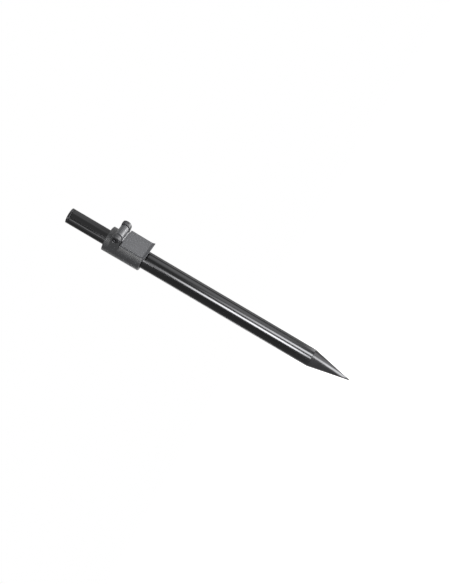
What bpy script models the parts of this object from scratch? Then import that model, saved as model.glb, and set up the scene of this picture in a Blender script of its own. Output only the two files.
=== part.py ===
"""Telescopic rod-pod leg: ground spike, two aluminium tubes and a cam clamp.

The leg stands upright with its spike point at the origin and +Z up the tubes.
The clamp's lever lies on the -Y side. Sizes are metres, written in millimetres
times MM. Every piece is one closed solid, and pieces that touch on the real
leg keep FIT_GAP between them.
"""
import math

import bmesh
import bpy
from mathutils import Matrix

MM = 0.001

# Driving dimensions: clearances
FIT_GAP = 0.3 * MM
RUNNING_GAP = 0.2 * MM
TUBE_CLEARANCE = 0.5 * MM
LIP_CLEARANCE = 0.4 * MM
CLOSED_GAP = 0.4 * MM
MERGE_DISTANCE = 0.002 * MM

# Driving dimensions: spike and its socket
SPIKE_LENGTH = 51.0 * MM
SPIKE_TIP_RADIUS = 0.5 * MM
SPIKE_EDGE = 0.3 * MM
STUD_RADIUS = 4.0 * MM
STUD_LENGTH = 13.0 * MM
STUD_CHAMFER = 0.8 * MM
SOCKET_LENGTH = 20.0 * MM
SOCKET_GROOVE_DEPTH = 0.5 * MM
SOCKET_GROOVE_HEIGHT = 1.6 * MM
SOCKET_GROOVES = 3
BUFFER_THICKNESS = 4.0 * MM
BUFFER_EDGE = 0.8 * MM

# Driving dimensions: tubes
OUTER_TUBE_RADIUS = 11.0 * MM
OUTER_TUBE_WALL = 1.0 * MM
OUTER_TUBE_SHOWING = 224.0 * MM
INNER_TUBE_WALL = 1.0 * MM
INNER_TUBE_SHOWING = 52.0 * MM
CLOSING_TRAVEL = 45.0 * MM
TUBE_EDGE = 0.2 * MM

# Driving dimensions: guide plug and ring at the inner tube's foot
PLUG_FLANGE_HEIGHT = 8.0 * MM
PLUG_SPIGOT_LENGTH = 14.0 * MM
PLUG_VENT_RADIUS = 4.0 * MM
PLUG_CHAMFER = 0.6 * MM
PLUG_PIN_RADIUS = 1.2 * MM
PLUG_PIN_ABOVE_FLANGE = 7.0 * MM
RING_HEIGHT = 2.6 * MM
RING_THICKNESS = 0.9 * MM
RING_SPLIT = 1.2 * MM

# Driving dimensions: threaded insert at the top
INSERT_FLANGE = 3.0 * MM
INSERT_SPIGOT_LENGTH = 17.0 * MM
INSERT_SOCKET_RADIUS = 4.1 * MM
INSERT_SOCKET_DEPTH = 15.0 * MM
INSERT_CHAMFER = 0.5 * MM
INSERT_MOUTH_CHAMFER = 0.8 * MM

# Driving dimensions: clamp collar
COLLAR_LENGTH = 49.0 * MM
COLLAR_WALL = 4.2 * MM
COLLAR_DRAFT = 0.3 * MM
COLLAR_MOUTH_ROUND = 1.4 * MM
COLLAR_FOOT_ROUND = 0.8 * MM
COLLAR_LIP_HEIGHT = 4.0 * MM
LINER_LENGTH = 17.0 * MM
LINER_SPLIT = 1.5 * MM
EAR_RADIUS = 6.3 * MM
EAR_THICKNESS = 5.9 * MM
EAR_ROUND = 0.8 * MM
PIN_BELOW_MOUTH = 12.2 * MM
SEAT_BELOW_CAM = 0.5 * MM

# Driving dimensions: pressure shoe, its pad and its wear plate
PAD_THICKNESS = 1.4 * MM
SHOE_THICKNESS = 1.9 * MM
WEAR_PLATE_THICKNESS = 0.5 * MM
SHOE_HALF_WIDTH = 6.0 * MM
SHOE_HALF_HEIGHT = 4.0 * MM
WEAR_PLATE_INSET = 0.8 * MM
SHOE_EDGE = 0.3 * MM

# Driving dimensions: cam lever
CAM_RADIUS = 5.6 * MM
BARREL_RADIUS = 6.0 * MM
CAM_LIFT = 1.0 * MM
CAM_SWEEP = 120.0
CAM_DWELL = 10.0
CAM_RETURN = 60.0
BARREL_HALF_WIDTH = 8.1 * MM
PLATE_THICKNESS = 3.3 * MM
PLATE_HALF_WIDTH = 14.0 * MM
PLATE_TAPER = 0.4 * MM
PLATE_CROWN = 0.5 * MM
PLATE_ROUND = 0.7 * MM
PLATE_RIM_ANGLE = 50.0
PLATE_END_GAP = 1.4 * MM
LEVER_OVERHANG = 2.6 * MM
FLICK_LENGTH = 4.8 * MM
FLICK_RISE = 1.1 * MM
FLICK_CURVE = 1.5
NECK_SHOULDER_DROP = 0.9 * MM
NECK_SINK = 0.3 * MM
NECK_ROOT = 3.0 * MM
POCKET_DEPTH = 1.3 * MM
POCKET_WALL = 2.0 * MM
POCKET_RIB = 1.6 * MM

# Driving dimensions: fasteners
BOLT_RADIUS = 2.0 * MM
BOLT_HEAD_RADIUS = 3.5 * MM
BOLT_HEAD_HEIGHT = 3.0 * MM
BOLT_SOCKET_HALF_FLATS = 1.25 * MM
BOLT_SOCKET_DEPTH = 2.0 * MM
NUT_HALF_FLATS = 3.5 * MM
HEAD_RECESS = 0.3 * MM
WASHER_THICKNESS = 0.6 * MM
WASHER_RADIUS = 5.0 * MM
SCREW_RADIUS = 1.5 * MM
SCREW_HEAD_RADIUS = 2.8 * MM
SCREW_RECESS = 0.2 * MM
SCREW_SLOT_WIDTH = 0.8 * MM
SCREW_SLOT_DEPTH = 0.7 * MM
SCREW_BELOW_TUBE_TOP = 16.4 * MM

# Facets
TUBE_SEGMENTS = 64
HIDDEN_SEGMENTS = 48
SMALL_SEGMENTS = 32
ARC_STEPS = 10
BARREL_STEPS = 40
ROUND_STEPS = 3
OVERCUT = 2.0 * MM
JOINT_MARK_SIZE = 10.0 * MM

# Radii that follow from the driving dimensions
OUTER_BORE = OUTER_TUBE_RADIUS - OUTER_TUBE_WALL
INNER_TUBE_RADIUS = OUTER_BORE - TUBE_CLEARANCE
INNER_BORE = INNER_TUBE_RADIUS - INNER_TUBE_WALL
COLLAR_BORE = OUTER_TUBE_RADIUS + FIT_GAP
COLLAR_RADIUS = COLLAR_BORE + COLLAR_WALL
COLLAR_FOOT_RADIUS = COLLAR_RADIUS - COLLAR_DRAFT
COLLAR_LIP_RADIUS = INNER_TUBE_RADIUS + LIP_CLEARANCE
SOCKET_RADIUS = OUTER_BORE - FIT_GAP
GUIDE_RADIUS = OUTER_BORE - RUNNING_GAP
LINER_BORE = INNER_TUBE_RADIUS + RUNNING_GAP
SPIGOT_RADIUS = INNER_BORE - FIT_GAP

# Heights up the leg, from the spike's point
TUBE_FOOT_Z = SPIKE_LENGTH + FIT_GAP
SOCKET_TOP_Z = TUBE_FOOT_Z + SOCKET_LENGTH
BUFFER_FOOT_Z = SOCKET_TOP_Z + FIT_GAP
BUFFER_TOP_Z = BUFFER_FOOT_Z + BUFFER_THICKNESS
COLLAR_FOOT_Z = SPIKE_LENGTH + OUTER_TUBE_SHOWING
COLLAR_MOUTH_Z = COLLAR_FOOT_Z + COLLAR_LENGTH
COLLAR_SHOULDER_Z = COLLAR_MOUTH_Z - COLLAR_LIP_HEIGHT
LINER_TOP_Z = COLLAR_SHOULDER_Z - FIT_GAP
LINER_FOOT_Z = LINER_TOP_Z - LINER_LENGTH
OUTER_TUBE_TOP_Z = LINER_FOOT_Z - FIT_GAP
SCREW_Z = OUTER_TUBE_TOP_Z - SCREW_BELOW_TUBE_TOP
PIN_Z = COLLAR_MOUTH_Z - PIN_BELOW_MOUTH
WINDOW_HALF_HEIGHT = SHOE_HALF_HEIGHT + FIT_GAP
WINDOW_HALF_WIDTH = SHOE_HALF_WIDTH + FIT_GAP
SEAT_TOP_Z = PIN_Z
PLATE_TOP_Z = PIN_Z - EAR_RADIUS - PLATE_END_GAP
PLATE_FOOT_Z = COLLAR_FOOT_Z - LEVER_OVERHANG
TOP_Z = COLLAR_MOUTH_Z + INNER_TUBE_SHOWING
INNER_TUBE_TOP_Z = TOP_Z - INSERT_FLANGE - FIT_GAP
PLUG_FOOT_Z = BUFFER_TOP_Z + CLOSED_GAP + CLOSING_TRAVEL
INNER_TUBE_FOOT_Z = PLUG_FOOT_Z + PLUG_FLANGE_HEIGHT + FIT_GAP
PLUG_PIN_Z = PLUG_FOOT_Z + PLUG_FLANGE_HEIGHT + PLUG_PIN_ABOVE_FLANGE

# Distances out from the tube's axis towards the lever, which is -Y
PAD_FACE_RADIUS = INNER_TUBE_RADIUS + FIT_GAP
PAD_BACK_RADIUS = PAD_FACE_RADIUS + PAD_THICKNESS
SHOE_FACE_RADIUS = PAD_BACK_RADIUS + FIT_GAP
SHOE_BACK = SHOE_FACE_RADIUS + SHOE_THICKNESS
WEAR_PLATE_FACE = SHOE_BACK + FIT_GAP
WEAR_PLATE_BACK = WEAR_PLATE_FACE + WEAR_PLATE_THICKNESS
CAM_FACE = WEAR_PLATE_BACK + FIT_GAP
PIN_OUT = CAM_FACE + CAM_RADIUS
SEAT_OUT = CAM_FACE - SEAT_BELOW_CAM
PLATE_INNER = SEAT_OUT + FIT_GAP
PLATE_OUTER = PLATE_INNER + PLATE_THICKNESS

# Distances along the lever's pin, from the middle plane
WASHER_INNER_X = BARREL_HALF_WIDTH + FIT_GAP
EAR_INNER_X = WASHER_INNER_X + WASHER_THICKNESS + FIT_GAP
EAR_OUTER_X = EAR_INNER_X + EAR_THICKNESS
HEAD_OUTER_X = EAR_OUTER_X - HEAD_RECESS
HEAD_INNER_X = HEAD_OUTER_X - BOLT_HEAD_HEIGHT
HEAD_SEAT_X = HEAD_INNER_X - FIT_GAP
PIN_HOLE_RADIUS = BOLT_RADIUS + FIT_GAP


def clear_scene():
    for item in list(bpy.data.objects):
        bpy.data.objects.remove(item, do_unlink=True)


def make_material(name, colour, roughness, metallic):
    material = bpy.data.materials.new(name)
    material.use_nodes = True
    shader = material.node_tree.nodes["Principled BSDF"]
    shader.inputs["Base Color"].default_value = (*colour, 1.0)
    shader.inputs["Roughness"].default_value = roughness
    shader.inputs["Metallic"].default_value = metallic
    material.diffuse_color = (*colour, 1.0)
    return material


def make_materials():
    return {
        "anodised": make_material("black_anodised_tube", (0.006, 0.006, 0.007), 0.22, 0.6),
        "spike": make_material("black_anodised_spike", (0.006, 0.006, 0.007), 0.25, 0.6),
        "nylon": make_material("black_moulded_nylon", (0.018, 0.018, 0.020), 0.42, 0.0),
        "lever": make_material("grey_black_lever", (0.038, 0.039, 0.043), 0.38, 0.0),
        "acetal": make_material("natural_acetal", (0.62, 0.61, 0.57), 0.45, 0.0),
        "rubber": make_material("black_rubber", (0.020, 0.020, 0.021), 0.80, 0.0),
        "steel": make_material("blackened_steel", (0.10, 0.10, 0.105), 0.35, 1.0),
        "plate": make_material("stainless_strip", (0.55, 0.55, 0.56), 0.30, 1.0),
        "insert": make_material("turned_insert", (0.035, 0.035, 0.038), 0.30, 0.8),
    }


def polar(radius, degrees):
    angle = math.radians(degrees)
    return radius * math.cos(angle), radius * math.sin(angle)


def arc(centre, radius, start, end, steps):
    """Points of an arc from start to end degrees, both ends included."""
    points = []
    for step in range(steps + 1):
        across, up = polar(radius, start + (end - start) * step / steps)
        points.append((centre[0] + across, centre[1] + up))
    return points


def turned(outline, segments=TUBE_SEGMENTS):
    """Spin a radius and height outline round Z. It is closed unless it starts on the axis."""
    mesh = bmesh.new()
    line = [mesh.verts.new((radius, 0.0, height)) for radius, height in outline]
    edges = [mesh.edges.new(pair) for pair in zip(line, line[1:])]
    if outline[0][0] > 0.0:
        edges.append(mesh.edges.new((line[-1], line[0])))
    bmesh.ops.spin(mesh, geom=line + edges, cent=(0.0, 0.0, 0.0), axis=(0.0, 0.0, 1.0),
                   angle=math.tau, steps=segments, use_merge=True)
    bmesh.ops.remove_doubles(mesh, verts=mesh.verts, dist=MERGE_DISTANCE)
    return mesh


def prism(outline, axis, low, high):
    """Extrude an outline along X or Z. For X its points are (out, height), for Z (x, out)."""
    mesh = bmesh.new()
    if axis == "X":
        line = [mesh.verts.new((low, -out, height)) for out, height in outline]
        travel = (high - low, 0.0, 0.0)
    else:
        line = [mesh.verts.new((across, -out, low)) for across, out in outline]
        travel = (0.0, 0.0, high - low)
    face = mesh.faces.new(line)
    grown = bmesh.ops.extrude_face_region(mesh, geom=[face])
    moved = [item for item in grown["geom"] if isinstance(item, bmesh.types.BMVert)]
    bmesh.ops.translate(mesh, verts=moved, vec=travel)
    return mesh


def block(x_span, out_span, z_span):
    """A box between two limits on each axis, with the middle pair measured towards -Y."""
    mesh = bmesh.new()
    size = (x_span[1] - x_span[0], out_span[1] - out_span[0], z_span[1] - z_span[0])
    centre = (sum(x_span) / 2.0, -sum(out_span) / 2.0, sum(z_span) / 2.0)
    bmesh.ops.create_cube(mesh, size=1.0, matrix=Matrix.Translation(centre) @ Matrix.Diagonal((*size, 1.0)))
    return mesh


def round_edges(mesh, width, keep=None, segments=ROUND_STEPS):
    """Bevel the edges of a shape, or only those that keep() picks."""
    edges = [edge for edge in mesh.edges if keep is None or keep(edge)]
    bmesh.ops.bevel(mesh, geom=edges, offset=width, segments=segments, profile=0.5,
                    affect="EDGES", material=-1, clamp_overlap=True)
    return mesh


def along_x(mesh, degrees=0.0):
    """Lay a shape turned round Z along +X."""
    turn = Matrix.Rotation(math.radians(90.0), 4, "Y") @ Matrix.Rotation(math.radians(degrees), 4, "Z")
    bmesh.ops.transform(mesh, matrix=turn, verts=mesh.verts)
    return mesh


def place(name, mesh, material, parent, origin=(0.0, 0.0, 0.0), smooth=35.0):
    """Make an object whose own origin is at a point of the leg, without moving the shape."""
    bmesh.ops.recalc_face_normals(mesh, faces=mesh.faces)
    bmesh.ops.translate(mesh, verts=mesh.verts, vec=[-value for value in origin])
    data = bpy.data.meshes.new(name)
    mesh.to_mesh(data)
    mesh.free()
    data.shade_smooth()
    data.set_sharp_from_angle(angle=math.radians(smooth))
    item = bpy.data.objects.new(name, data)
    bpy.context.collection.objects.link(item)
    if material is not None:
        data.materials.append(material)
    if parent is not None:
        item.parent = parent
        item.location = [here - there for here, there in zip(origin, parent.location)]
    else:
        item.location = origin
    return item


def combine(item, name, mesh, operation):
    """Add a Boolean to a piece, with its tool as a hidden wire object beside it."""
    tool = place(name, mesh, None, item.parent)
    tool.hide_render = True
    tool.display_type = "WIRE"
    step = item.modifiers.new(name, "BOOLEAN")
    step.operation = operation
    step.solver = "EXACT"
    step.object = tool


def make_joint_frame(name, location):
    frame = bpy.data.objects.new(name, None)
    frame.empty_display_size = JOINT_MARK_SIZE
    frame.location = location
    bpy.context.collection.objects.link(frame)
    return frame


def make_spike(material, parent):
    stud_top = SPIKE_LENGTH + STUD_LENGTH
    outline = [
        (0.0, 0.0),
        (SPIKE_TIP_RADIUS, 0.0),
        (OUTER_TUBE_RADIUS, SPIKE_LENGTH - SPIKE_EDGE),
        (OUTER_TUBE_RADIUS - SPIKE_EDGE, SPIKE_LENGTH),
        (STUD_RADIUS, SPIKE_LENGTH),
        (STUD_RADIUS, stud_top - STUD_CHAMFER),
        (STUD_RADIUS - STUD_CHAMFER, stud_top),
        (0.0, stud_top),
    ]
    return place("spike", turned(outline), material, parent)


def make_spike_socket(material, parent):
    """Plug bonded into the outer tube's foot, with glue grooves and the spike's thread."""
    pitch = SOCKET_LENGTH / (SOCKET_GROOVES + 1)
    outline = [(STUD_RADIUS + FIT_GAP, TUBE_FOOT_Z), (SOCKET_RADIUS, TUBE_FOOT_Z)]
    for groove in range(SOCKET_GROOVES):
        middle = TUBE_FOOT_Z + pitch * (groove + 1)
        low = middle - SOCKET_GROOVE_HEIGHT / 2.0
        high = middle + SOCKET_GROOVE_HEIGHT / 2.0
        floor = SOCKET_RADIUS - SOCKET_GROOVE_DEPTH
        outline += [(SOCKET_RADIUS, low), (floor, low), (floor, high), (SOCKET_RADIUS, high)]
    outline += [(SOCKET_RADIUS, SOCKET_TOP_Z), (STUD_RADIUS + FIT_GAP, SOCKET_TOP_Z)]
    return place("spike_socket", turned(outline, HIDDEN_SEGMENTS), material, parent, (0.0, 0.0, TUBE_FOOT_Z))


def make_closing_buffer(material, parent):
    outline = [
        (0.0, BUFFER_FOOT_Z),
        (SOCKET_RADIUS, BUFFER_FOOT_Z),
        (SOCKET_RADIUS, BUFFER_TOP_Z - BUFFER_EDGE),
        (SOCKET_RADIUS - BUFFER_EDGE, BUFFER_TOP_Z),
        (0.0, BUFFER_TOP_Z),
    ]
    buffer = turned(outline, HIDDEN_SEGMENTS)
    return place("closing_buffer", buffer, material, parent, (0.0, 0.0, BUFFER_FOOT_Z))


def tube_outline(bore, radius, foot, top):
    return [
        (bore, foot),
        (radius - TUBE_EDGE, foot),
        (radius, foot + TUBE_EDGE),
        (radius, top - TUBE_EDGE),
        (radius - TUBE_EDGE, top),
        (bore, top),
    ]


def screw_hole(low, high, radius):
    """Cutter for a round hole along +Y at the collar screw."""
    mesh = turned([(0.0, low), (radius, low), (radius, high), (0.0, high)], SMALL_SEGMENTS)
    turn = Matrix.Rotation(math.radians(-90.0), 4, "X")
    lift = Matrix.Translation((0.0, 0.0, SCREW_Z))
    bmesh.ops.transform(mesh, matrix=lift @ turn, verts=mesh.verts)
    return mesh


def make_outer_tube(material, parent):
    outline = tube_outline(OUTER_BORE, OUTER_TUBE_RADIUS, TUBE_FOOT_Z, OUTER_TUBE_TOP_Z)
    tube = place("outer_tube", turned(outline), material, parent, (0.0, 0.0, TUBE_FOOT_Z))
    hole = screw_hole(OUTER_BORE - OVERCUT, OUTER_TUBE_RADIUS + OVERCUT, SCREW_RADIUS + FIT_GAP)
    combine(tube, "outer_tube_screw_hole", hole, "DIFFERENCE")
    return tube


def plug_pin_rod(radius, half_length):
    """A round rod across the inner tube, along X at the plug's pin."""
    outline = [(0.0, -half_length), (radius, -half_length), (radius, half_length), (0.0, half_length)]
    mesh = along_x(turned(outline, SMALL_SEGMENTS))
    bmesh.ops.translate(mesh, verts=mesh.verts, vec=(0.0, 0.0, PLUG_PIN_Z))
    return mesh


def make_inner_tube(material, parent):
    outline = tube_outline(INNER_BORE, INNER_TUBE_RADIUS, INNER_TUBE_FOOT_Z, INNER_TUBE_TOP_Z)
    tube = place("inner_tube", turned(outline), material, parent, (0.0, 0.0, INNER_TUBE_FOOT_Z))
    drilling = plug_pin_rod(PLUG_PIN_RADIUS + FIT_GAP, INNER_TUBE_RADIUS + OVERCUT)
    combine(tube, "inner_tube_pin_holes", drilling, "DIFFERENCE")
    return tube


def make_plug_pin(material, parent):
    """Cross pin through the inner tube and its plug, a little short of the tube's outside."""
    rod = plug_pin_rod(PLUG_PIN_RADIUS, INNER_TUBE_RADIUS - FIT_GAP)
    return place("plug_pin", rod, material, parent, (0.0, 0.0, PLUG_PIN_Z))


def make_guide_plug(material, parent):
    """Hollow plug pushed into the inner tube's foot, grooved for the guide ring."""
    flange_top = PLUG_FOOT_Z + PLUG_FLANGE_HEIGHT
    middle = PLUG_FOOT_Z + PLUG_FLANGE_HEIGHT / 2.0
    groove_half = RING_HEIGHT / 2.0 + FIT_GAP
    groove_floor = GUIDE_RADIUS - RING_THICKNESS - FIT_GAP
    spigot_top = flange_top + PLUG_SPIGOT_LENGTH
    outline = [
        (PLUG_VENT_RADIUS, PLUG_FOOT_Z),
        (INNER_TUBE_RADIUS - PLUG_CHAMFER, PLUG_FOOT_Z),
        (INNER_TUBE_RADIUS, PLUG_FOOT_Z + PLUG_CHAMFER),
        (INNER_TUBE_RADIUS, middle - groove_half),
        (groove_floor, middle - groove_half),
        (groove_floor, middle + groove_half),
        (INNER_TUBE_RADIUS, middle + groove_half),
        (INNER_TUBE_RADIUS, flange_top),
        (SPIGOT_RADIUS, flange_top),
        (SPIGOT_RADIUS, spigot_top - PLUG_CHAMFER),
        (SPIGOT_RADIUS - PLUG_CHAMFER, spigot_top),
        (PLUG_VENT_RADIUS, spigot_top),
    ]
    plug = place("guide_plug", turned(outline, HIDDEN_SEGMENTS), material, parent, (0.0, 0.0, PLUG_FOOT_Z))
    drilling = plug_pin_rod(PLUG_PIN_RADIUS + FIT_GAP, INNER_TUBE_RADIUS + OVERCUT)
    combine(plug, "guide_plug_pin_holes", drilling, "DIFFERENCE")
    return plug


def make_guide_ring(material, parent):
    """Split ring that runs in the outer tube and keeps the inner tube central."""
    middle = PLUG_FOOT_Z + PLUG_FLANGE_HEIGHT / 2.0
    low = middle - RING_HEIGHT / 2.0
    high = middle + RING_HEIGHT / 2.0
    inner = GUIDE_RADIUS - RING_THICKNESS
    outline = [(inner, low), (GUIDE_RADIUS, low), (GUIDE_RADIUS, high), (inner, high)]
    ring = place("guide_ring", turned(outline, HIDDEN_SEGMENTS), material, parent, (0.0, 0.0, middle))
    gap = block((-RING_SPLIT / 2.0, RING_SPLIT / 2.0), (-GUIDE_RADIUS - OVERCUT, 0.0),
                (low - OVERCUT, high + OVERCUT))
    combine(ring, "guide_ring_split", gap, "DIFFERENCE")
    return ring


def make_top_insert(material, parent):
    """Insert with a blind threaded socket, flush with the inner tube's outside."""
    flange_foot = TOP_Z - INSERT_FLANGE
    spigot_foot = flange_foot - INSERT_SPIGOT_LENGTH
    socket_foot = TOP_Z - INSERT_SOCKET_DEPTH
    outline = [
        (0.0, spigot_foot),
        (SPIGOT_RADIUS - INSERT_CHAMFER, spigot_foot),
        (SPIGOT_RADIUS, spigot_foot + INSERT_CHAMFER),
        (SPIGOT_RADIUS, flange_foot),
        (INNER_TUBE_RADIUS - TUBE_EDGE, flange_foot),
        (INNER_TUBE_RADIUS, flange_foot + TUBE_EDGE),
        (INNER_TUBE_RADIUS, TOP_Z - INSERT_CHAMFER),
        (INNER_TUBE_RADIUS - INSERT_CHAMFER, TOP_Z),
        (INSERT_SOCKET_RADIUS + INSERT_MOUTH_CHAMFER, TOP_Z),
        (INSERT_SOCKET_RADIUS, TOP_Z - INSERT_MOUTH_CHAMFER),
        (INSERT_SOCKET_RADIUS, socket_foot),
        (0.0, socket_foot),
    ]
    return place("top_insert", turned(outline), material, parent, (0.0, 0.0, TOP_Z))


def sleeve():
    """The collar's round body before its bore, drafted and rounded at both ends."""
    foot_round = arc((COLLAR_FOOT_RADIUS - COLLAR_FOOT_ROUND, COLLAR_FOOT_Z + COLLAR_FOOT_ROUND),
                     COLLAR_FOOT_ROUND, -90.0, 0.0, ROUND_STEPS)
    mouth_round = arc((COLLAR_RADIUS - COLLAR_MOUTH_ROUND, COLLAR_MOUTH_Z - COLLAR_MOUTH_ROUND),
                      COLLAR_MOUTH_ROUND, 0.0, 90.0, ROUND_STEPS)
    return turned([(0.0, COLLAR_FOOT_Z)] + foot_round + mouth_round + [(0.0, COLLAR_MOUTH_Z)])


def ear(side):
    """One of the two lugs that hold the lever's pin, rounded over at its crown."""
    crown = arc((PIN_OUT, PIN_Z), EAR_RADIUS, -90.0, 90.0, ARC_STEPS)
    outline = [(0.0, PIN_Z - EAR_RADIUS)] + crown + [(0.0, PIN_Z + EAR_RADIUS)]
    low, high = sorted((side * EAR_INNER_X, side * EAR_OUTER_X))
    return round_edges(prism(outline, "X", low, high), EAR_ROUND, keep=lies_in_side_face, segments=2)


def lies_in_side_face(edge):
    """True for an edge of a shape extruded along X that isn't one of its long edges."""
    return abs(edge.verts[0].co.x - edge.verts[1].co.x) < MERGE_DISTANCE


def runs_outwards(edge):
    """True for an edge that lies along Y."""
    first, second = (vert.co for vert in edge.verts)
    return abs(first.x - second.x) < MERGE_DISTANCE and abs(first.z - second.z) < MERGE_DISTANCE


def collar_bore():
    outline = [
        (0.0, COLLAR_FOOT_Z - OVERCUT),
        (COLLAR_BORE, COLLAR_FOOT_Z - OVERCUT),
        (COLLAR_BORE, COLLAR_SHOULDER_Z),
        (COLLAR_LIP_RADIUS, COLLAR_SHOULDER_Z),
        (COLLAR_LIP_RADIUS, COLLAR_MOUTH_Z + OVERCUT),
        (0.0, COLLAR_MOUTH_Z + OVERCUT),
    ]
    return turned(outline)


def shoe_window(outer):
    """Cutter for the opening that the pressure shoe slides in."""
    return block((-WINDOW_HALF_WIDTH, WINDOW_HALF_WIDTH), (0.0, outer),
                 (PIN_Z - WINDOW_HALF_HEIGHT, PIN_Z + WINDOW_HALF_HEIGHT))


def pin_drilling():
    """Cutter for the pin's hole, with the bolt head's counterbore on the -X ear."""
    head_bore = BOLT_HEAD_RADIUS + FIT_GAP
    outline = [
        (0.0, -EAR_OUTER_X - OVERCUT),
        (head_bore, -EAR_OUTER_X - OVERCUT),
        (head_bore, -HEAD_SEAT_X),
        (PIN_HOLE_RADIUS, -HEAD_SEAT_X),
        (PIN_HOLE_RADIUS, EAR_OUTER_X + OVERCUT),
        (0.0, EAR_OUTER_X + OVERCUT),
    ]
    mesh = along_x(turned(outline, SMALL_SEGMENTS))
    bmesh.ops.translate(mesh, verts=mesh.verts, vec=(0.0, -PIN_OUT, PIN_Z))
    return mesh


def hexagon(half_flats, low, high):
    """A six-sided bar along X through the pin's axis."""
    radius = half_flats / math.cos(math.radians(30.0))
    mesh = along_x(turned([(0.0, low), (radius, low), (radius, high), (0.0, high)], 6))
    bmesh.ops.translate(mesh, verts=mesh.verts, vec=(0.0, -PIN_OUT, PIN_Z))
    return mesh


def screw_seat():
    """Cutter for the collar screw: its hole and its countersink, along +Y."""
    sink = FIT_GAP * math.sqrt(2.0)
    head_high = COLLAR_FOOT_RADIUS - SCREW_RECESS
    head_low = head_high - (SCREW_HEAD_RADIUS - SCREW_RADIUS)
    hole = SCREW_RADIUS + FIT_GAP
    outline = [
        (0.0, COLLAR_BORE - OVERCUT),
        (hole, COLLAR_BORE - OVERCUT),
        (hole, head_low - (sink - FIT_GAP)),
        (SCREW_HEAD_RADIUS + sink, head_high),
        (SCREW_HEAD_RADIUS + sink, COLLAR_RADIUS + OVERCUT),
        (0.0, COLLAR_RADIUS + OVERCUT),
    ]
    mesh = turned(outline, SMALL_SEGMENTS)
    turn = Matrix.Rotation(math.radians(-90.0), 4, "X")
    lift = Matrix.Translation((0.0, 0.0, SCREW_Z))
    bmesh.ops.transform(mesh, matrix=lift @ turn, verts=mesh.verts)
    return mesh


def make_clamp_collar(material, parent):
    collar = place("clamp_collar", sleeve(), material, parent)
    combine(collar, "collar_near_ear", ear(-1.0), "UNION")
    combine(collar, "collar_far_ear", ear(1.0), "UNION")
    combine(collar, "collar_bore", collar_bore(), "DIFFERENCE")
    outside = (SEAT_OUT, COLLAR_RADIUS + OVERCUT)
    seat = block((-COLLAR_RADIUS, COLLAR_RADIUS), outside, (COLLAR_FOOT_Z - OVERCUT, PLATE_TOP_Z + FIT_GAP))
    combine(collar, "collar_lever_seat", seat, "DIFFERENCE")
    neck_seat = block((-EAR_INNER_X + FIT_GAP, EAR_INNER_X - FIT_GAP), outside, (PLATE_TOP_Z, SEAT_TOP_Z))
    combine(collar, "collar_neck_seat", neck_seat, "DIFFERENCE")
    combine(collar, "collar_window", shoe_window(COLLAR_RADIUS + OVERCUT), "DIFFERENCE")
    combine(collar, "collar_pin_drilling", pin_drilling(), "DIFFERENCE")
    pocket = hexagon(NUT_HALF_FLATS + FIT_GAP, HEAD_SEAT_X, EAR_OUTER_X + OVERCUT)
    combine(collar, "collar_nut_pocket", pocket, "DIFFERENCE")
    combine(collar, "collar_screw_seat", screw_seat(), "DIFFERENCE")
    return collar


def make_collar_liner(material, parent):
    """Split plastic bush under the collar's lip, cut away where the shoe passes."""
    radius = COLLAR_BORE - FIT_GAP
    outline = [(LINER_BORE, LINER_FOOT_Z), (radius, LINER_FOOT_Z), (radius, LINER_TOP_Z),
               (LINER_BORE, LINER_TOP_Z)]
    bush = turned(outline, HIDDEN_SEGMENTS)
    liner = place("collar_liner", bush, material, parent, (0.0, 0.0, LINER_FOOT_Z))
    combine(liner, "liner_window", shoe_window(radius + OVERCUT), "DIFFERENCE")
    split = block((-LINER_SPLIT / 2.0, LINER_SPLIT / 2.0), (-radius - OVERCUT, 0.0),
                  (LINER_FOOT_Z - OVERCUT, LINER_TOP_Z + OVERCUT))
    combine(liner, "liner_split", split, "DIFFERENCE")
    return liner


def make_collar_screw(material, parent):
    """Countersunk screw through the collar into the outer tube's wall."""
    head_high = COLLAR_FOOT_RADIUS - SCREW_RECESS
    head_low = head_high - (SCREW_HEAD_RADIUS - SCREW_RADIUS)
    tip = OUTER_BORE + FIT_GAP
    outline = [(0.0, tip), (SCREW_RADIUS, tip), (SCREW_RADIUS, head_low), (SCREW_HEAD_RADIUS, head_high),
               (0.0, head_high)]
    mesh = turned(outline, SMALL_SEGMENTS)
    turn = Matrix.Rotation(math.radians(-90.0), 4, "X")
    bmesh.ops.transform(mesh, matrix=Matrix.Translation((0.0, 0.0, SCREW_Z)) @ turn, verts=mesh.verts)
    screw = place("collar_screw", mesh, material, parent, (0.0, head_high, SCREW_Z))
    slot = block((-SCREW_HEAD_RADIUS - OVERCUT, SCREW_HEAD_RADIUS + OVERCUT),
                 (-head_high - OVERCUT, -head_high + SCREW_SLOT_DEPTH),
                 (SCREW_Z - SCREW_SLOT_WIDTH / 2.0, SCREW_Z + SCREW_SLOT_WIDTH / 2.0))
    combine(screw, "collar_screw_slot", slot, "DIFFERENCE")
    return screw


def arc_face(radius, half_width, steps):
    """Points (x, out) of an arc round the tube's axis between two sides."""
    reach = math.degrees(math.asin(half_width / radius))
    return arc((0.0, 0.0), radius, 90.0 - reach, 90.0 + reach, steps)


def make_shoe_pad(material, parent):
    face = arc_face(PAD_FACE_RADIUS, SHOE_HALF_WIDTH, ARC_STEPS)
    back = arc_face(PAD_BACK_RADIUS, SHOE_HALF_WIDTH, ARC_STEPS)
    mesh = prism(face + back[::-1], "Z", PIN_Z - SHOE_HALF_HEIGHT, PIN_Z + SHOE_HALF_HEIGHT)
    return place("shoe_pad", mesh, material, parent, parent.location)


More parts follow.
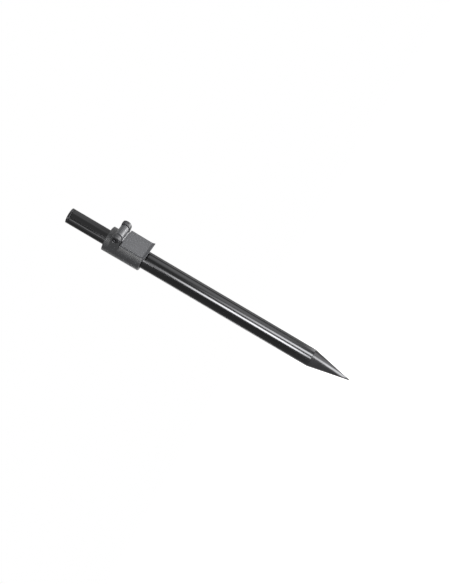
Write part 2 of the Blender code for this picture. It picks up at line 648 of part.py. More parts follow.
def make_pressure_shoe(material, parent):
    face = arc_face(SHOE_FACE_RADIUS, SHOE_HALF_WIDTH, ARC_STEPS)
    outline = face + [(-SHOE_HALF_WIDTH, SHOE_BACK), (SHOE_HALF_WIDTH, SHOE_BACK)]
    mesh = prism(outline, "Z", PIN_Z - SHOE_HALF_HEIGHT, PIN_Z + SHOE_HALF_HEIGHT)
    return place("pressure_shoe", mesh, material, parent, parent.location)


def make_wear_plate(material, parent):
    half_width = SHOE_HALF_WIDTH - WEAR_PLATE_INSET
    half_height = SHOE_HALF_HEIGHT - WEAR_PLATE_INSET
    mesh = block((-half_width, half_width), (WEAR_PLATE_FACE, WEAR_PLATE_BACK),
                 (PIN_Z - half_height, PIN_Z + half_height))
    round_edges(mesh, SHOE_EDGE, keep=runs_outwards, segments=2)
    return place("shoe_wear_plate", mesh, material, parent, parent.location)


def cam_radius(turn):
    """Cam radius by degrees from its locking flat: it falls evenly, rests, then meets the barrel."""
    if turn <= CAM_SWEEP:
        return CAM_RADIUS - CAM_LIFT * turn / CAM_SWEEP
    share = min(max((turn - CAM_SWEEP - CAM_DWELL) / CAM_RETURN, 0.0), 1.0)
    return CAM_RADIUS - CAM_LIFT + (BARREL_RADIUS - CAM_RADIUS + CAM_LIFT) * share


def cam_barrel():
    """The lever's barrel and neck in side view: locking flat, spiral cam and filleted shoulder."""
    last_turn = 360.0 - math.degrees(math.acos(NECK_SHOULDER_DROP / BARREL_RADIUS))
    outline = []
    for step in range(BARREL_STEPS + 1):
        turn = last_turn * step / BARREL_STEPS
        along, up = polar(cam_radius(turn), turn)
        outline.append((PIN_OUT - along, PIN_Z + up))
    shoulder_out, shoulder_z = outline[-1]
    fillet = shoulder_out - (PLATE_OUTER - NECK_SINK)
    outline += arc((shoulder_out, shoulder_z - fillet), fillet, 90.0, 180.0, ARC_STEPS // 2)[1:]
    root_z = PLATE_TOP_Z - NECK_ROOT
    outline += [(PLATE_OUTER - NECK_SINK * 2.0, root_z), (CAM_FACE, root_z)]
    return prism(outline, "X", -BARREL_HALF_WIDTH, BARREL_HALF_WIDTH)


def plate_section(z, half_width, inner, outer):
    """One cross-section of the lever's plate: flat below, crowned on top."""
    points = [(-half_width, inner), (half_width, inner)]
    for step in range(ARC_STEPS + 1):
        across = half_width * (1.0 - 2.0 * step / ARC_STEPS)
        drop = PLATE_CROWN * (across / half_width) ** 2
        points.append((across, outer - drop))
    return [(across, -out, z) for across, out in points]


def lever_plate():
    """The lever's arm lofted down its length, with a flicked-up lip at the free end."""
    length = PLATE_TOP_Z - PLATE_FOOT_Z
    crease_z = PLATE_FOOT_Z + FLICK_LENGTH
    stations = [(PLATE_TOP_Z, 0.0), (crease_z, 0.0)]
    for step in range(1, ROUND_STEPS + 1):
        share = step / ROUND_STEPS
        stations.append((crease_z - FLICK_LENGTH * share, share))
    mesh = bmesh.new()
    loops = []
    for z, share in stations:
        half_width = PLATE_HALF_WIDTH - PLATE_TAPER * (PLATE_TOP_Z - z) / length
        rise = FLICK_RISE * share ** FLICK_CURVE
        section = plate_section(z, half_width, PLATE_INNER + rise, PLATE_OUTER + rise)
        line = [mesh.verts.new(point) for point in section]
        loops.append([mesh.edges.new(pair) for pair in zip(line, line[1:] + line[:1])])
    for upper, lower in zip(loops, loops[1:]):
        bmesh.ops.bridge_loops(mesh, edges=upper + lower)
    bmesh.ops.holes_fill(mesh, edges=[edge for edge in mesh.edges if edge.is_boundary])
    bmesh.ops.recalc_face_normals(mesh, faces=mesh.faces)
    rim = math.radians(PLATE_RIM_ANGLE)
    return round_edges(mesh, PLATE_ROUND, keep=lambda edge: edge.calc_face_angle(0.0) > rim, segments=2)


def lever_pocket(side):
    """Cutter for one of the two cored-out pockets under the plate."""
    low, high = sorted((side * POCKET_RIB / 2.0, side * (PLATE_HALF_WIDTH - PLATE_TAPER - POCKET_WALL)))
    foot = PLATE_FOOT_Z + FLICK_LENGTH + POCKET_WALL
    top = PLATE_TOP_Z - NECK_ROOT - POCKET_WALL
    return block((low, high), (PLATE_INNER - OVERCUT, PLATE_INNER + POCKET_DEPTH), (foot, top))


def make_cam_lever(material, parent):
    lever = place("cam_lever", lever_plate(), material, parent, parent.location)
    combine(lever, "lever_barrel", cam_barrel(), "UNION")
    hole = along_x(turned([(0.0, -EAR_INNER_X), (PIN_HOLE_RADIUS, -EAR_INNER_X),
                           (PIN_HOLE_RADIUS, EAR_INNER_X), (0.0, EAR_INNER_X)], SMALL_SEGMENTS))
    bmesh.ops.translate(hole, verts=hole.verts, vec=(0.0, -PIN_OUT, PIN_Z))
    combine(lever, "lever_pin_hole", hole, "DIFFERENCE")
    combine(lever, "lever_near_pocket", lever_pocket(-1.0), "DIFFERENCE")
    combine(lever, "lever_far_pocket", lever_pocket(1.0), "DIFFERENCE")
    return lever


def make_lever_bolt(material, parent):
    """Pivot bolt along X: its socket head sits in the -X ear and its end in the nut."""
    edge = SHOE_EDGE
    outline = [
        (0.0, -HEAD_OUTER_X),
        (BOLT_HEAD_RADIUS - edge, -HEAD_OUTER_X),
        (BOLT_HEAD_RADIUS, -HEAD_OUTER_X + edge),
        (BOLT_HEAD_RADIUS, -HEAD_INNER_X),
        (BOLT_RADIUS, -HEAD_INNER_X),
        (BOLT_RADIUS, HEAD_OUTER_X - edge),
        (BOLT_RADIUS - edge, HEAD_OUTER_X),
        (0.0, HEAD_OUTER_X),
    ]
    mesh = along_x(turned(outline, SMALL_SEGMENTS))
    bmesh.ops.translate(mesh, verts=mesh.verts, vec=(0.0, -PIN_OUT, PIN_Z))
    bolt = place("lever_bolt", mesh, material, parent, (0.0, -PIN_OUT, PIN_Z))
    socket = hexagon(BOLT_SOCKET_HALF_FLATS, -HEAD_OUTER_X - OVERCUT, -HEAD_OUTER_X + BOLT_SOCKET_DEPTH)
    combine(bolt, "bolt_socket", socket, "DIFFERENCE")
    return bolt


def make_lever_nut(material, parent):
    nut = place("lever_nut", hexagon(NUT_HALF_FLATS, HEAD_INNER_X, HEAD_OUTER_X), material, parent,
                (0.0, -PIN_OUT, PIN_Z))
    bore = along_x(turned([(0.0, HEAD_INNER_X - OVERCUT), (PIN_HOLE_RADIUS, HEAD_INNER_X - OVERCUT),
                           (PIN_HOLE_RADIUS, HEAD_OUTER_X + OVERCUT), (0.0, HEAD_OUTER_X + OVERCUT)],
                          SMALL_SEGMENTS))
    bmesh.ops.translate(bore, verts=bore.verts, vec=(0.0, -PIN_OUT, PIN_Z))
    combine(nut, "nut_bore", bore, "DIFFERENCE")
    return nut


def make_lever_washer(name, side, material, parent):
    low, high = sorted((side * WASHER_INNER_X, side * (WASHER_INNER_X + WASHER_THICKNESS)))
    outline = [(PIN_HOLE_RADIUS, low), (WASHER_RADIUS, low), (WASHER_RADIUS, high), (PIN_HOLE_RADIUS, high)]
    mesh = along_x(turned(outline, SMALL_SEGMENTS))
    bmesh.ops.translate(mesh, verts=mesh.verts, vec=(0.0, -PIN_OUT, PIN_Z))
    return place(name, mesh, material, parent, (0.0, -PIN_OUT, PIN_Z))


def build_leg():
    clear_scene()
    finish = make_materials()
    lower_leg = make_joint_frame("lower_leg_frame", (0.0, 0.0, 0.0))
    slide = make_joint_frame("inner_tube_slide_frame", (0.0, 0.0, INNER_TUBE_FOOT_Z))
    pivot = make_joint_frame("lever_pivot_frame", (0.0, -PIN_OUT, PIN_Z))
    shoe = make_joint_frame("shoe_slide_frame", (0.0, -SHOE_BACK, PIN_Z))

    make_spike(finish["spike"], lower_leg)
    make_spike_socket(finish["insert"], lower_leg)
    make_closing_buffer(finish["rubber"], lower_leg)
    make_outer_tube(finish["anodised"], lower_leg)
    make_clamp_collar(finish["nylon"], lower_leg)
    make_collar_liner(finish["acetal"], lower_leg)
    make_collar_screw(finish["steel"], lower_leg)
    make_lever_bolt(finish["steel"], lower_leg)
    make_lever_nut(finish["steel"], lower_leg)

    make_inner_tube(finish["anodised"], slide)
    make_guide_plug(finish["nylon"], slide)
    make_guide_ring(finish["acetal"], slide)
    make_plug_pin(finish["steel"], slide)
    make_top_insert(finish["insert"], slide)

    make_cam_lever(finish["lever"], pivot)
    make_lever_washer("lever_washer_near", -1.0, finish["nylon"], pivot)
    make_lever_washer("lever_washer_far", 1.0, finish["nylon"], pivot)

    make_pressure_shoe(finish["nylon"], shoe)
    make_shoe_pad(finish["rubber"], shoe)
    make_wear_plate(finish["plate"], shoe)


build_leg()
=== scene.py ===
"""Telescopic rod-pod leg, dressed: fine meshes, finishes, floor, light and camera.

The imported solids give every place. What shows is modelled again, finer, over the solid that it
stands for, and what lies inside the leg keeps its solid and gets its finish. All sizes are metres.
"""
import math

import bmesh
import bpy
from bpy.props import FloatProperty, FloatVectorProperty, IntProperty, PointerProperty
from mathutils import Matrix, Quaternion, Vector


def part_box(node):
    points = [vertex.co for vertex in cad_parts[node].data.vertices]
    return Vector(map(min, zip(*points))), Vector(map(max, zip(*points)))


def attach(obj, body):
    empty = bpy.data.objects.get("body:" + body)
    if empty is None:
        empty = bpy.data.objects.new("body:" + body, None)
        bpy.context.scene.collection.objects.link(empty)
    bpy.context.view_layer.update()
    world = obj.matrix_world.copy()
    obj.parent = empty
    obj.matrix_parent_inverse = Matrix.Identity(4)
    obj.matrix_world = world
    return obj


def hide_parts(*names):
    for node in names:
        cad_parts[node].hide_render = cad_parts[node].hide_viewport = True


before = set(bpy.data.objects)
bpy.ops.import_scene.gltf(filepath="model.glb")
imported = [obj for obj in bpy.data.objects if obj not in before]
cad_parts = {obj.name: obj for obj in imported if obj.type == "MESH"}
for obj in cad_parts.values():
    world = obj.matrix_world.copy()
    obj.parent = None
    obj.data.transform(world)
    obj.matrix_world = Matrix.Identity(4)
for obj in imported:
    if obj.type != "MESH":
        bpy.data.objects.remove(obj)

bl_info = {
    "name": "Telescopic Rod Pod Leg",
    "version": (1, 0, 0),
    "blender": (4, 5, 0),
    "location": "3D View > Sidebar > Rod Pod Leg",
    "description": "Models a spiked telescopic leg with a cam clamp, and the studio it stands in",
    "category": "Add Mesh",
}

MM = 0.001

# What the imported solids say
SPIKE_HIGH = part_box("spike")[1]
OUTER_LOW, OUTER_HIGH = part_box("outer_tube")
INNER_LOW, INNER_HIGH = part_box("inner_tube")
INSERT_LOW, INSERT_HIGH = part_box("top_insert")
COLLAR_LOW, COLLAR_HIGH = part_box("clamp_collar")
LEVER_LOW, LEVER_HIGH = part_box("cam_lever")
BOLT_LOW, BOLT_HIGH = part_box("lever_bolt")
NUT_LOW, NUT_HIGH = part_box("lever_nut")
WASHER_LOW, WASHER_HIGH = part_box("lever_washer_far")
SCREW_LOW, SCREW_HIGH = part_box("collar_screw")
SHOE_LOW, SHOE_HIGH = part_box("pressure_shoe")
STRIP_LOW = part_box("shoe_wear_plate")[0]

# Clearances that the solids keep
FIT_GAP = 0.3 * MM
LIP_CLEARANCE = 0.4 * MM
SEAT_BELOW_CAM = 0.5 * MM
HEAD_RECESS = 0.3 * MM
PLATE_END_GAP = 1.4 * MM

# Sizes that several pieces share and that no solid's box gives
SHANK_RADIUS = 2.0 * MM
SCREW_THREAD = 1.5 * MM
BARREL_RADIUS = 6.0 * MM
HEXAGON_SIDES = 6

# How far a cutter runs past what it cuts, and how close two corners lie that become one
OVERCUT = 2.0 * MM
MERGE_DISTANCE = 0.002 * MM

# Facets round the collar, the bolt and its washers, small holes and screws, and the tubes' holes
COLLAR_FACETS = 144
PIN_FACETS = 64
HOLE_FACETS = 48
TUBE_HOLE_FACETS = 32

# How much of its mirroring the black anodising keeps at a glancing angle
EDGE_TINT = (0.7, 0.7, 0.7, 1.0)

# Places worked out from the solids
OUTER_RADIUS = OUTER_HIGH.x
INNER_RADIUS = INNER_HIGH.x
SPIKE_LENGTH = OUTER_LOW.z - FIT_GAP
COLLAR_RADIUS = COLLAR_HIGH.y
COLLAR_BORE = OUTER_RADIUS + FIT_GAP
PIN = (BOLT_LOW + BOLT_HIGH) / 2.0
PIN_OUT = -PIN.y
EAR_RADIUS = PIN.y - COLLAR_LOW.y
EAR_OUTER = BOLT_HIGH.x + HEAD_RECESS
EAR_INNER = WASHER_HIGH.x + FIT_GAP
HEAD_RADIUS = (BOLT_HIGH.z - BOLT_LOW.z) / 2.0
HEAD_SEAT = NUT_LOW.x - FIT_GAP
BARREL_HALF_WIDTH = WASHER_LOW.x - FIT_GAP
CAM_FACE = FIT_GAP - STRIP_LOW.y
SEAT_OUT = CAM_FACE - SEAT_BELOW_CAM
PLATE_TOP = PIN.z - EAR_RADIUS - PLATE_END_GAP
PLATE_FOOT = LEVER_LOW.z
PLATE_HALF_WIDTH = LEVER_HIGH.x
PLATE_INNER = SEAT_OUT + FIT_GAP
SCREW_HEIGHT = (SCREW_LOW.z + SCREW_HIGH.z) / 2.0
SCREW_HEAD = (SCREW_HIGH.z - SCREW_LOW.z) / 2.0


class LegTubeSettings(bpy.types.PropertyGroup):
    """Sizes and finish of the drawn tubes, the spike and the top insert."""

    wall: FloatProperty(name="Wall", description="Thickness of both tubes' walls", default=1.0 * MM,
                        min=0.5 * MM, max=2.0 * MM, unit="LENGTH")
    edge: FloatProperty(name="End edge", description="Rounding of the tubes' cut ends", default=0.12 * MM,
                        min=0.05 * MM, max=0.4 * MM, unit="LENGTH")
    tip_radius: FloatProperty(name="Tip", description="Radius of the spike's rounded point",
                              default=0.5 * MM, min=0.2 * MM, max=2.0 * MM, unit="LENGTH")
    facets: IntProperty(name="Facets", description="Facets round the tubes", default=144, min=48, max=256)
    thread_pitch: FloatProperty(name="Thread pitch", description="Pitch of the top socket's thread",
                                default=1.27 * MM, min=0.8 * MM, max=2.0 * MM, unit="LENGTH")
    colour: FloatVectorProperty(name="Anodising", description="Colour of the black anodised tubes",
                                default=(0.0180, 0.0180, 0.0186), size=3, min=0.0, max=1.0, subtype="COLOR")
    roughness: FloatProperty(name="Roughness", description="Roughness of the polished anodising",
                             default=0.17, min=0.05, max=0.6, subtype="FACTOR")


class LegClampSettings(bpy.types.PropertyGroup):
    """Sizes and finish of the moulded collar, its lever and their fasteners."""

    draft: FloatProperty(name="Draft", description="How much narrower the collar is at its foot",
                         default=0.3 * MM, min=0.0, max=0.6 * MM, unit="LENGTH")
    mouth_round: FloatProperty(name="Mouth", description="Rounding of the collar's mouth", default=0.7 * MM,
                               min=0.4 * MM, max=2.0 * MM, unit="LENGTH")
    foot_round: FloatProperty(name="Foot", description="Rounding of the collar's foot", default=1.3 * MM,
                              min=0.2 * MM, max=1.5 * MM, unit="LENGTH")
    ear_round: FloatProperty(name="Ear edge", description="Rounding of the ears' edges", default=0.8 * MM,
                             min=0.2 * MM, max=1.5 * MM, unit="LENGTH")
    plate_thickness: FloatProperty(name="Lever plate", description="Thickness of the lever's plate",
                                   default=3.3 * MM, min=2.0 * MM, max=4.0 * MM, unit="LENGTH")
    plate_round: FloatProperty(name="Lever edge", description="Rounding of the lever plate's edges",
                               default=0.7 * MM, min=0.2 * MM, max=1.0 * MM, unit="LENGTH")
    flick: FloatProperty(name="Lip rise", description="How far the lever's free end turns outwards",
                         default=1.8 * MM, min=0.0, max=2.5 * MM, unit="LENGTH")
    collar_colour: FloatVectorProperty(name="Collar", description="Colour of the moulded collar",
                                       default=(0.0043, 0.0045, 0.0051), size=3, min=0.0, max=1.0,
                                       subtype="COLOR")
    lever_colour: FloatVectorProperty(name="Lever", description="Colour of the moulded lever",
                                      default=(0.0115, 0.0119, 0.0134), size=3, min=0.0, max=1.0,
                                      subtype="COLOR")
    roughness: FloatProperty(name="Roughness", description="Roughness of the moulded nylon", default=0.43,
                             min=0.1, max=0.9, subtype="FACTOR")


class LegStudioSettings(bpy.types.PropertyGroup):
    """The camera's place and the levels of the floor and the fill."""

    azimuth: FloatProperty(name="Azimuth", description="Camera's turn round the leg from the lever's side",
                           default=math.radians(-40.0), subtype="ANGLE", unit="ROTATION")
    elevation: FloatProperty(name="Elevation", description="Camera's height angle, seen from the clamp",
                             default=math.radians(-7.5), subtype="ANGLE", unit="ROTATION")
    distance: FloatProperty(name="Distance", description="From the camera to the leg", default=1.07,
                            min=0.3, max=5.0, unit="LENGTH")
    roll: FloatProperty(name="Roll", description="Camera's turn about its own axis",
                        default=math.radians(59.52), subtype="ANGLE", unit="ROTATION")
    lens: FloatProperty(name="Lens", description="Focal length in millimetres on a 36 mm long side",
                        default=56.54, min=20.0, max=200.0)
    fill: FloatProperty(name="Fill", description="Brightness of the surroundings as a light", default=0.62,
                        min=0.0, max=2.0)
    floor: FloatVectorProperty(name="Floor", description="Colour of the floor", default=(0.80, 0.80, 0.80),
                               size=3, min=0.0, max=1.0, subtype="COLOR")


class Field:
    """One shader socket. Arithmetic written on it adds the Math nodes."""

    def __init__(self, paint, socket):
        self.paint = paint
        self.socket = socket

    def maths(self, operation, first, second):
        return self.paint.node("ShaderNodeMath", {"operation": operation}, {0: first, 1: second})

    def __add__(self, other):
        return self.maths("ADD", self, other)

    def __radd__(self, other):
        return self.maths("ADD", other, self)

    def __sub__(self, other):
        return self.maths("SUBTRACT", self, other)

    def __rsub__(self, other):
        return self.maths("SUBTRACT", other, self)

    def __mul__(self, other):
        return self.maths("MULTIPLY", self, other)

    def __rmul__(self, other):
        return self.maths("MULTIPLY", other, self)

    def larger(self, other):
        return self.maths("MAXIMUM", self, other)


class Paint:
    """The node tree of one material, or of the world."""

    def __init__(self, owner):
        self.owner = owner
        owner.use_nodes = True
        self.tree = owner.node_tree
        self.nodes = self.tree.nodes

    def node(self, kind, settings=None, inputs=None, output=0):
        """Add a node, set it up, fill its sockets with values or links, and give one output."""
        made = self.nodes.new(kind)
        for name, value in (settings or {}).items():
            setattr(made, name, value)
        for key, value in (inputs or {}).items():
            self.fill(made.inputs[key], value)
        return Field(self, made.outputs[output])

    def fill(self, socket, value):
        """Link a field to a socket, or write a plain value on it."""
        if isinstance(value, Field):
            self.tree.links.new(value.socket, socket)
        else:
            socket.default_value = value

    def grain(self, stretch, detail=2.0, roughness=0.5):
        """Noise on the piece's own coordinates, with stretch in cycles per metre along X, Y and Z."""
        where = self.node("ShaderNodeTexCoord", output="Object")
        scaled = self.node("ShaderNodeMapping", None, {"Vector": where, "Scale": stretch})
        return self.node("ShaderNodeTexNoise", None,
                         {"Vector": scaled, "Scale": 1.0, "Detail": detail, "Roughness": roughness}, "Fac")

    def speckle(self, scale, detail=2.0, roughness=0.5):
        """Noise that is alike in all directions, with its scale in cycles per metre."""
        return self.grain((scale, scale, scale), detail, roughness)

    def spread(self, value, low, high):
        """Go from 0 to 1 while the value goes from the first level to the second."""
        return self.node("ShaderNodeMapRange", None,
                         {"Value": value, "From Min": low, "From Max": high, "To Min": 0.0, "To Max": 1.0})

    def eased(self, value, reach):
        """Rise smoothly from 0 to 1 while the value goes from 0 to the reach."""
        settings = {"interpolation_type": "SMOOTHSTEP"}
        return self.node("ShaderNodeMapRange", settings, {"Value": value, "From Max": reach})

    def blend(self, factor, first, second):
        """Mix two colours, which are inputs 6 and 7 and output 2 of the Mix node."""
        return self.node("ShaderNodeMix", {"data_type": "RGBA"}, {0: factor, 6: first, 7: second}, 2)

    def bump(self, height, depth, under=None):
        """Turn a height from 0 to 1 into relief of a given depth, over another relief if there is one."""
        inputs = {"Height": height, "Distance": depth, "Strength": 1.0}
        if under is not None:
            inputs["Normal"] = under
        return self.node("ShaderNodeBump", None, inputs)

    def surface(self, **sockets):
        """Fill the Principled shader's sockets. Names have underscores for spaces."""
        shader = self.nodes["Principled BSDF"]
        for name, value in sockets.items():
            self.fill(shader.inputs[name.replace("_", " ")], value)
        return self.owner


def new_paint(name):
    """The paint of a new material."""
    return Paint(bpy.data.materials.new(name))


def opaque(colour, level=1.0):
    """A colour for a socket, darkened or lightened."""
    return (colour[0] * level, colour[1] * level, colour[2] * level, 1.0)


def drawn_anodised(settings):
    """Polished, drawn and black anodised tube: faint lengthwise lines, cloudy gloss and fine scuffs."""
    paint = new_paint("drawn_black_anodising")
    lines = paint.grain((2600.0, 2600.0, 9.0), 3.0)
    cloud = paint.grain((60.0, 60.0, 14.0), 3.0)
    scuff = paint.spread(paint.grain((900.0, 900.0, 130.0), 4.0, 0.65), 0.66, 0.74)
    drawn = paint.spread(paint.grain((340.0, 340.0, 3.0), 3.0, 0.6), 0.30, 0.70)
    colour = paint.blend(drawn, opaque(settings.colour, 0.76), opaque(settings.colour, 1.26))
    colour = paint.blend(cloud * 0.5, colour, opaque(settings.colour, 0.9))
    colour = paint.blend(scuff * 0.2, colour, opaque(settings.colour, 1.8))
    gloss = settings.roughness + (cloud - 0.5) * 0.06 + (lines - 0.5) * 0.05 + scuff * 0.10
    return paint.surface(Base_Color=colour, Roughness=gloss, Metallic=1.0, Specular_Tint=EDGE_TINT,
                         Normal=paint.bump(lines, 0.0014 * MM))


def turned_anodised(settings):
    """Lathe-turned and black anodised: fine rings round the cone, rubbed paler towards the point."""
    paint = new_paint("turned_black_anodising")
    where = paint.node("ShaderNodeTexCoord", output="Object")
    height = paint.node("ShaderNodeSeparateXYZ", None, {0: where}, "Z")
    rings = paint.grain((8.0, 8.0, 4200.0), 2.0)
    cloud = paint.speckle(70.0, 3.0)
    worn_height = 14.0 * MM
    worn = paint.spread(cloud + paint.spread(height, worn_height, 0.0) * 0.35, 0.72, 0.95)
    colour = paint.blend(cloud, opaque(settings.colour, 0.8), opaque(settings.colour, 1.15))
    colour = paint.blend(worn * 0.5, colour, opaque(settings.colour, 1.8))
    gloss = settings.roughness + 0.05 + (rings - 0.5) * 0.12 + worn * 0.12
    return paint.surface(Base_Color=colour, Roughness=gloss, Metallic=1.0, Specular_Tint=EDGE_TINT,
                         Normal=paint.bump(rings, 0.0035 * MM))


def turned_insert(settings):
    """Turned aluminium insert: black anodised, with the cutter's rings on its face."""
    paint = new_paint("turned_insert_anodising")
    rings = paint.grain((1500.0, 1500.0, 2400.0), 1.0)
    cloud = paint.speckle(220.0, 3.0)
    colour = paint.blend(cloud, opaque(settings.colour), opaque(settings.colour, 1.7))
    gloss = 0.24 + (rings - 0.5) * 0.12
    return paint.surface(Base_Color=colour, Roughness=gloss, Metallic=1.0, Specular_Tint=EDGE_TINT,
                         Normal=paint.bump(rings, 0.003 * MM))


def moulded_nylon(name, colour, roughness, specular):
    """Moulded nylon: an even fine spark grain, slow cloudiness from the filler, and rubbed spots."""
    paint = new_paint(name)
    grain = paint.speckle(4200.0)
    filler = paint.speckle(260.0, 4.0, 0.6)
    rubbed = paint.spread(paint.speckle(520.0, 4.0, 0.6), 0.60, 0.74)
    shade = paint.blend(filler, opaque(colour, 0.66), opaque(colour, 1.36))
    shade = paint.blend(rubbed * 0.4, shade, opaque(colour, 2.3))
    gloss = roughness + (grain - 0.5) * 0.14 + (filler - 0.5) * 0.14 - rubbed * 0.08
    relief = paint.bump(filler, 0.012 * MM, paint.bump(grain, 0.0045 * MM))
    return paint.surface(Base_Color=shade, Roughness=gloss, Metallic=0.0, Specular_IOR_Level=specular,
                         Normal=relief)


def natural_acetal():
    """Unfilled acetal: waxy off-white with a slow tint."""
    paint = new_paint("natural_acetal")
    tint = paint.speckle(300.0, 3.0)
    colour = paint.blend(tint, (0.58, 0.57, 0.52, 1.0), (0.66, 0.65, 0.61, 1.0))
    gloss = 0.38 + (tint - 0.5) * 0.16
    return paint.surface(Base_Color=colour, Roughness=gloss, Metallic=0.0, Normal=paint.bump(tint, 0.01 * MM))


def matt_rubber():
    """Moulded black rubber with a dusty grain."""
    paint = new_paint("matt_black_rubber")
    grain = paint.speckle(1500.0, 3.0)
    colour = paint.blend(grain, (0.016, 0.016, 0.017, 1.0), (0.030, 0.030, 0.030, 1.0))
    gloss = 0.78 + (grain - 0.5) * 0.2
    relief = paint.bump(grain, 0.02 * MM)
    return paint.surface(Base_Color=colour, Roughness=gloss, Metallic=0.0, Normal=relief)


def blackened_steel():
    """Oil-blacked steel, worn to grey in spots."""
    paint = new_paint("blackened_steel")
    cloud = paint.speckle(900.0, 4.0, 0.6)
    worn = paint.spread(cloud, 0.58, 0.72)
    colour = paint.blend(worn, (0.014, 0.014, 0.015, 1.0), (0.050, 0.050, 0.053, 1.0))
    gloss = 0.42 + (cloud - 0.5) * 0.2 - worn * 0.06
    relief = paint.bump(cloud, 0.004 * MM)
    return paint.surface(Base_Color=colour, Roughness=gloss, Metallic=1.0, Normal=relief)


def rolled_strip():
    """Stainless strip with lengthwise rolling marks."""
    paint = new_paint("rolled_stainless_strip")
    lines = paint.grain((4000.0, 300.0, 60.0), 3.0)
    colour = paint.blend(lines, (0.46, 0.46, 0.47, 1.0), (0.62, 0.62, 0.63, 1.0))
    gloss = 0.24 + lines * 0.14
    relief = paint.bump(lines, 0.003 * MM)
    return paint.surface(Base_Color=colour, Roughness=gloss, Metallic=1.0, Normal=relief)


def polar(radius, degrees):
    """A point of a circle round the origin."""
    angle = math.radians(degrees)
    return radius * math.cos(angle), radius * math.sin(angle)


def arc(centre, radius, start, end, steps):
    """Points of an arc between two angles in degrees, both ends included."""
    points = []
    for step in range(steps + 1):
        across, up = polar(radius, start + (end - start) * step / steps)
        points.append((centre[0] + across, centre[1] + up))
    return points


def spun(profile, facets):
    """Spin a radius and height profile right round Z. One that starts off the axis is closed."""
    shape = bmesh.new()
    line = [shape.verts.new((radius, 0.0, height)) for radius, height in profile]
    edges = [shape.edges.new(pair) for pair in zip(line, line[1:])]
    if profile[0][0] > 0.0:
        edges.append(shape.edges.new((line[-1], line[0])))
    bmesh.ops.spin(shape, geom=line + edges, cent=(0.0, 0.0, 0.0), axis=(0.0, 0.0, 1.0),
                   angle=math.tau, steps=facets, use_merge=True)
    bmesh.ops.remove_doubles(shape, verts=shape.verts, dist=MERGE_DISTANCE)
    bmesh.ops.recalc_face_normals(shape, faces=shape.faces)
    return shape


def rod(radius, low, high, facets):
    """A plain round bar up Z."""
    return spun([(0.0, low), (radius, low), (radius, high), (0.0, high)], facets)


def bar(outline, low, high):
    """Extrude an outline of (distance out, height) points along X."""
    shape = bmesh.new()
    face = shape.faces.new([shape.verts.new((low, -out, height)) for out, height in outline])
    grown = bmesh.ops.extrude_face_region(shape, geom=[face])
    far_side = [item for item in grown["geom"] if isinstance(item, bmesh.types.BMVert)]
    bmesh.ops.translate(shape, verts=far_side, vec=(high - low, 0.0, 0.0))
    bmesh.ops.recalc_face_normals(shape, faces=shape.faces)
    return shape


def block(x_span, out_span, z_span):
    """A box between limits along X, outwards along -Y, and up Z."""
    shape = bmesh.new()
    size = (x_span[1] - x_span[0], out_span[1] - out_span[0], z_span[1] - z_span[0], 1.0)
    centre = (sum(x_span) / 2.0, -sum(out_span) / 2.0, sum(z_span) / 2.0)
    bmesh.ops.create_cube(shape, size=1.0, matrix=Matrix.Translation(centre) @ Matrix.Diagonal(size))
    return shape


def soften(shape, width, steps, pick):
    """Bevel the edges that pick() chooses."""
    edges = [edge for edge in shape.edges if pick(edge)]
    bmesh.ops.bevel(shape, geom=edges, offset=width, segments=steps, profile=0.5, affect="EDGES", material=-1,
                    clamp_overlap=True)
    bmesh.ops.recalc_face_normals(shape, faces=shape.faces)
    return shape


def sharper_than(degrees):
    """A test for edges whose faces bend by more than an angle."""
    limit = math.radians(degrees)
    return lambda edge: edge.calc_face_angle(0.0) > limit


def crosswise(edge):
    """True for an edge whose two ends have the same X."""
    return abs(edge.verts[0].co.x - edge.verts[1].co.x) < MERGE_DISTANCE


def turn(shape, matrix):
    """Move or turn all of a shape."""
    bmesh.ops.transform(shape, matrix=matrix, verts=shape.verts)
    return shape


def along_x(shape, centre):
    """Lay a shape that was spun round Z along X, through a point."""
    return turn(shape, Matrix.Translation(centre) @ Matrix.Rotation(math.radians(90.0), 4, "Y"))


def on_pin(shape):
    """Lay a shape that was spun round Z along the lever's pin."""
    return along_x(shape, PIN)


def on_screw(shape):
    """Lay a shape that was spun round Z along +Y, at the collar screw's height."""
    lift = Matrix.Translation((0.0, 0.0, SCREW_HEIGHT))
    return turn(shape, lift @ Matrix.Rotation(math.radians(-90.0), 4, "X"))


def hexagon_corner(half_flats):
    """How far a hexagon's corners lie from its middle, from half its width across the flats."""
    return half_flats / math.cos(math.pi / HEXAGON_SIDES)


def hexagon(half_flats, low, high):
    """A six-sided bar that lies along the lever's pin."""
    return on_pin(rod(hexagon_corner(half_flats), low, high, HEXAGON_SIDES))


def loose_object(name, shape):
    """Turn a shape into an object of the scene."""
    data = bpy.data.meshes.new(name)
    shape.to_mesh(data)
    shape.free()
    item = bpy.data.objects.new(name, data)
    bpy.context.scene.collection.objects.link(item)
    return item


def discard(item):
    """Remove an object and its mesh."""
    data = item.data
    bpy.data.objects.remove(item, do_unlink=True)
    bpy.data.meshes.remove(data)


def combined(shape, tool, operation):
    """Join a tool to a shape, cut it away, or keep what both fill, and give the new shape."""
    work = loose_object("work", shape)
    other = loose_object("tool", tool)
    step = work.modifiers.new(operation, "BOOLEAN")
    step.operation = operation
    step.solver = "EXACT"
    step.object = other
    evaluated = work.evaluated_get(bpy.context.evaluated_depsgraph_get())
    made = bmesh.new()
    made.from_mesh(evaluated.to_mesh())
    evaluated.to_mesh_clear()
    discard(work)
    discard(other)
    bmesh.ops.remove_doubles(made, verts=made.verts, dist=MERGE_DISTANCE)
    return made


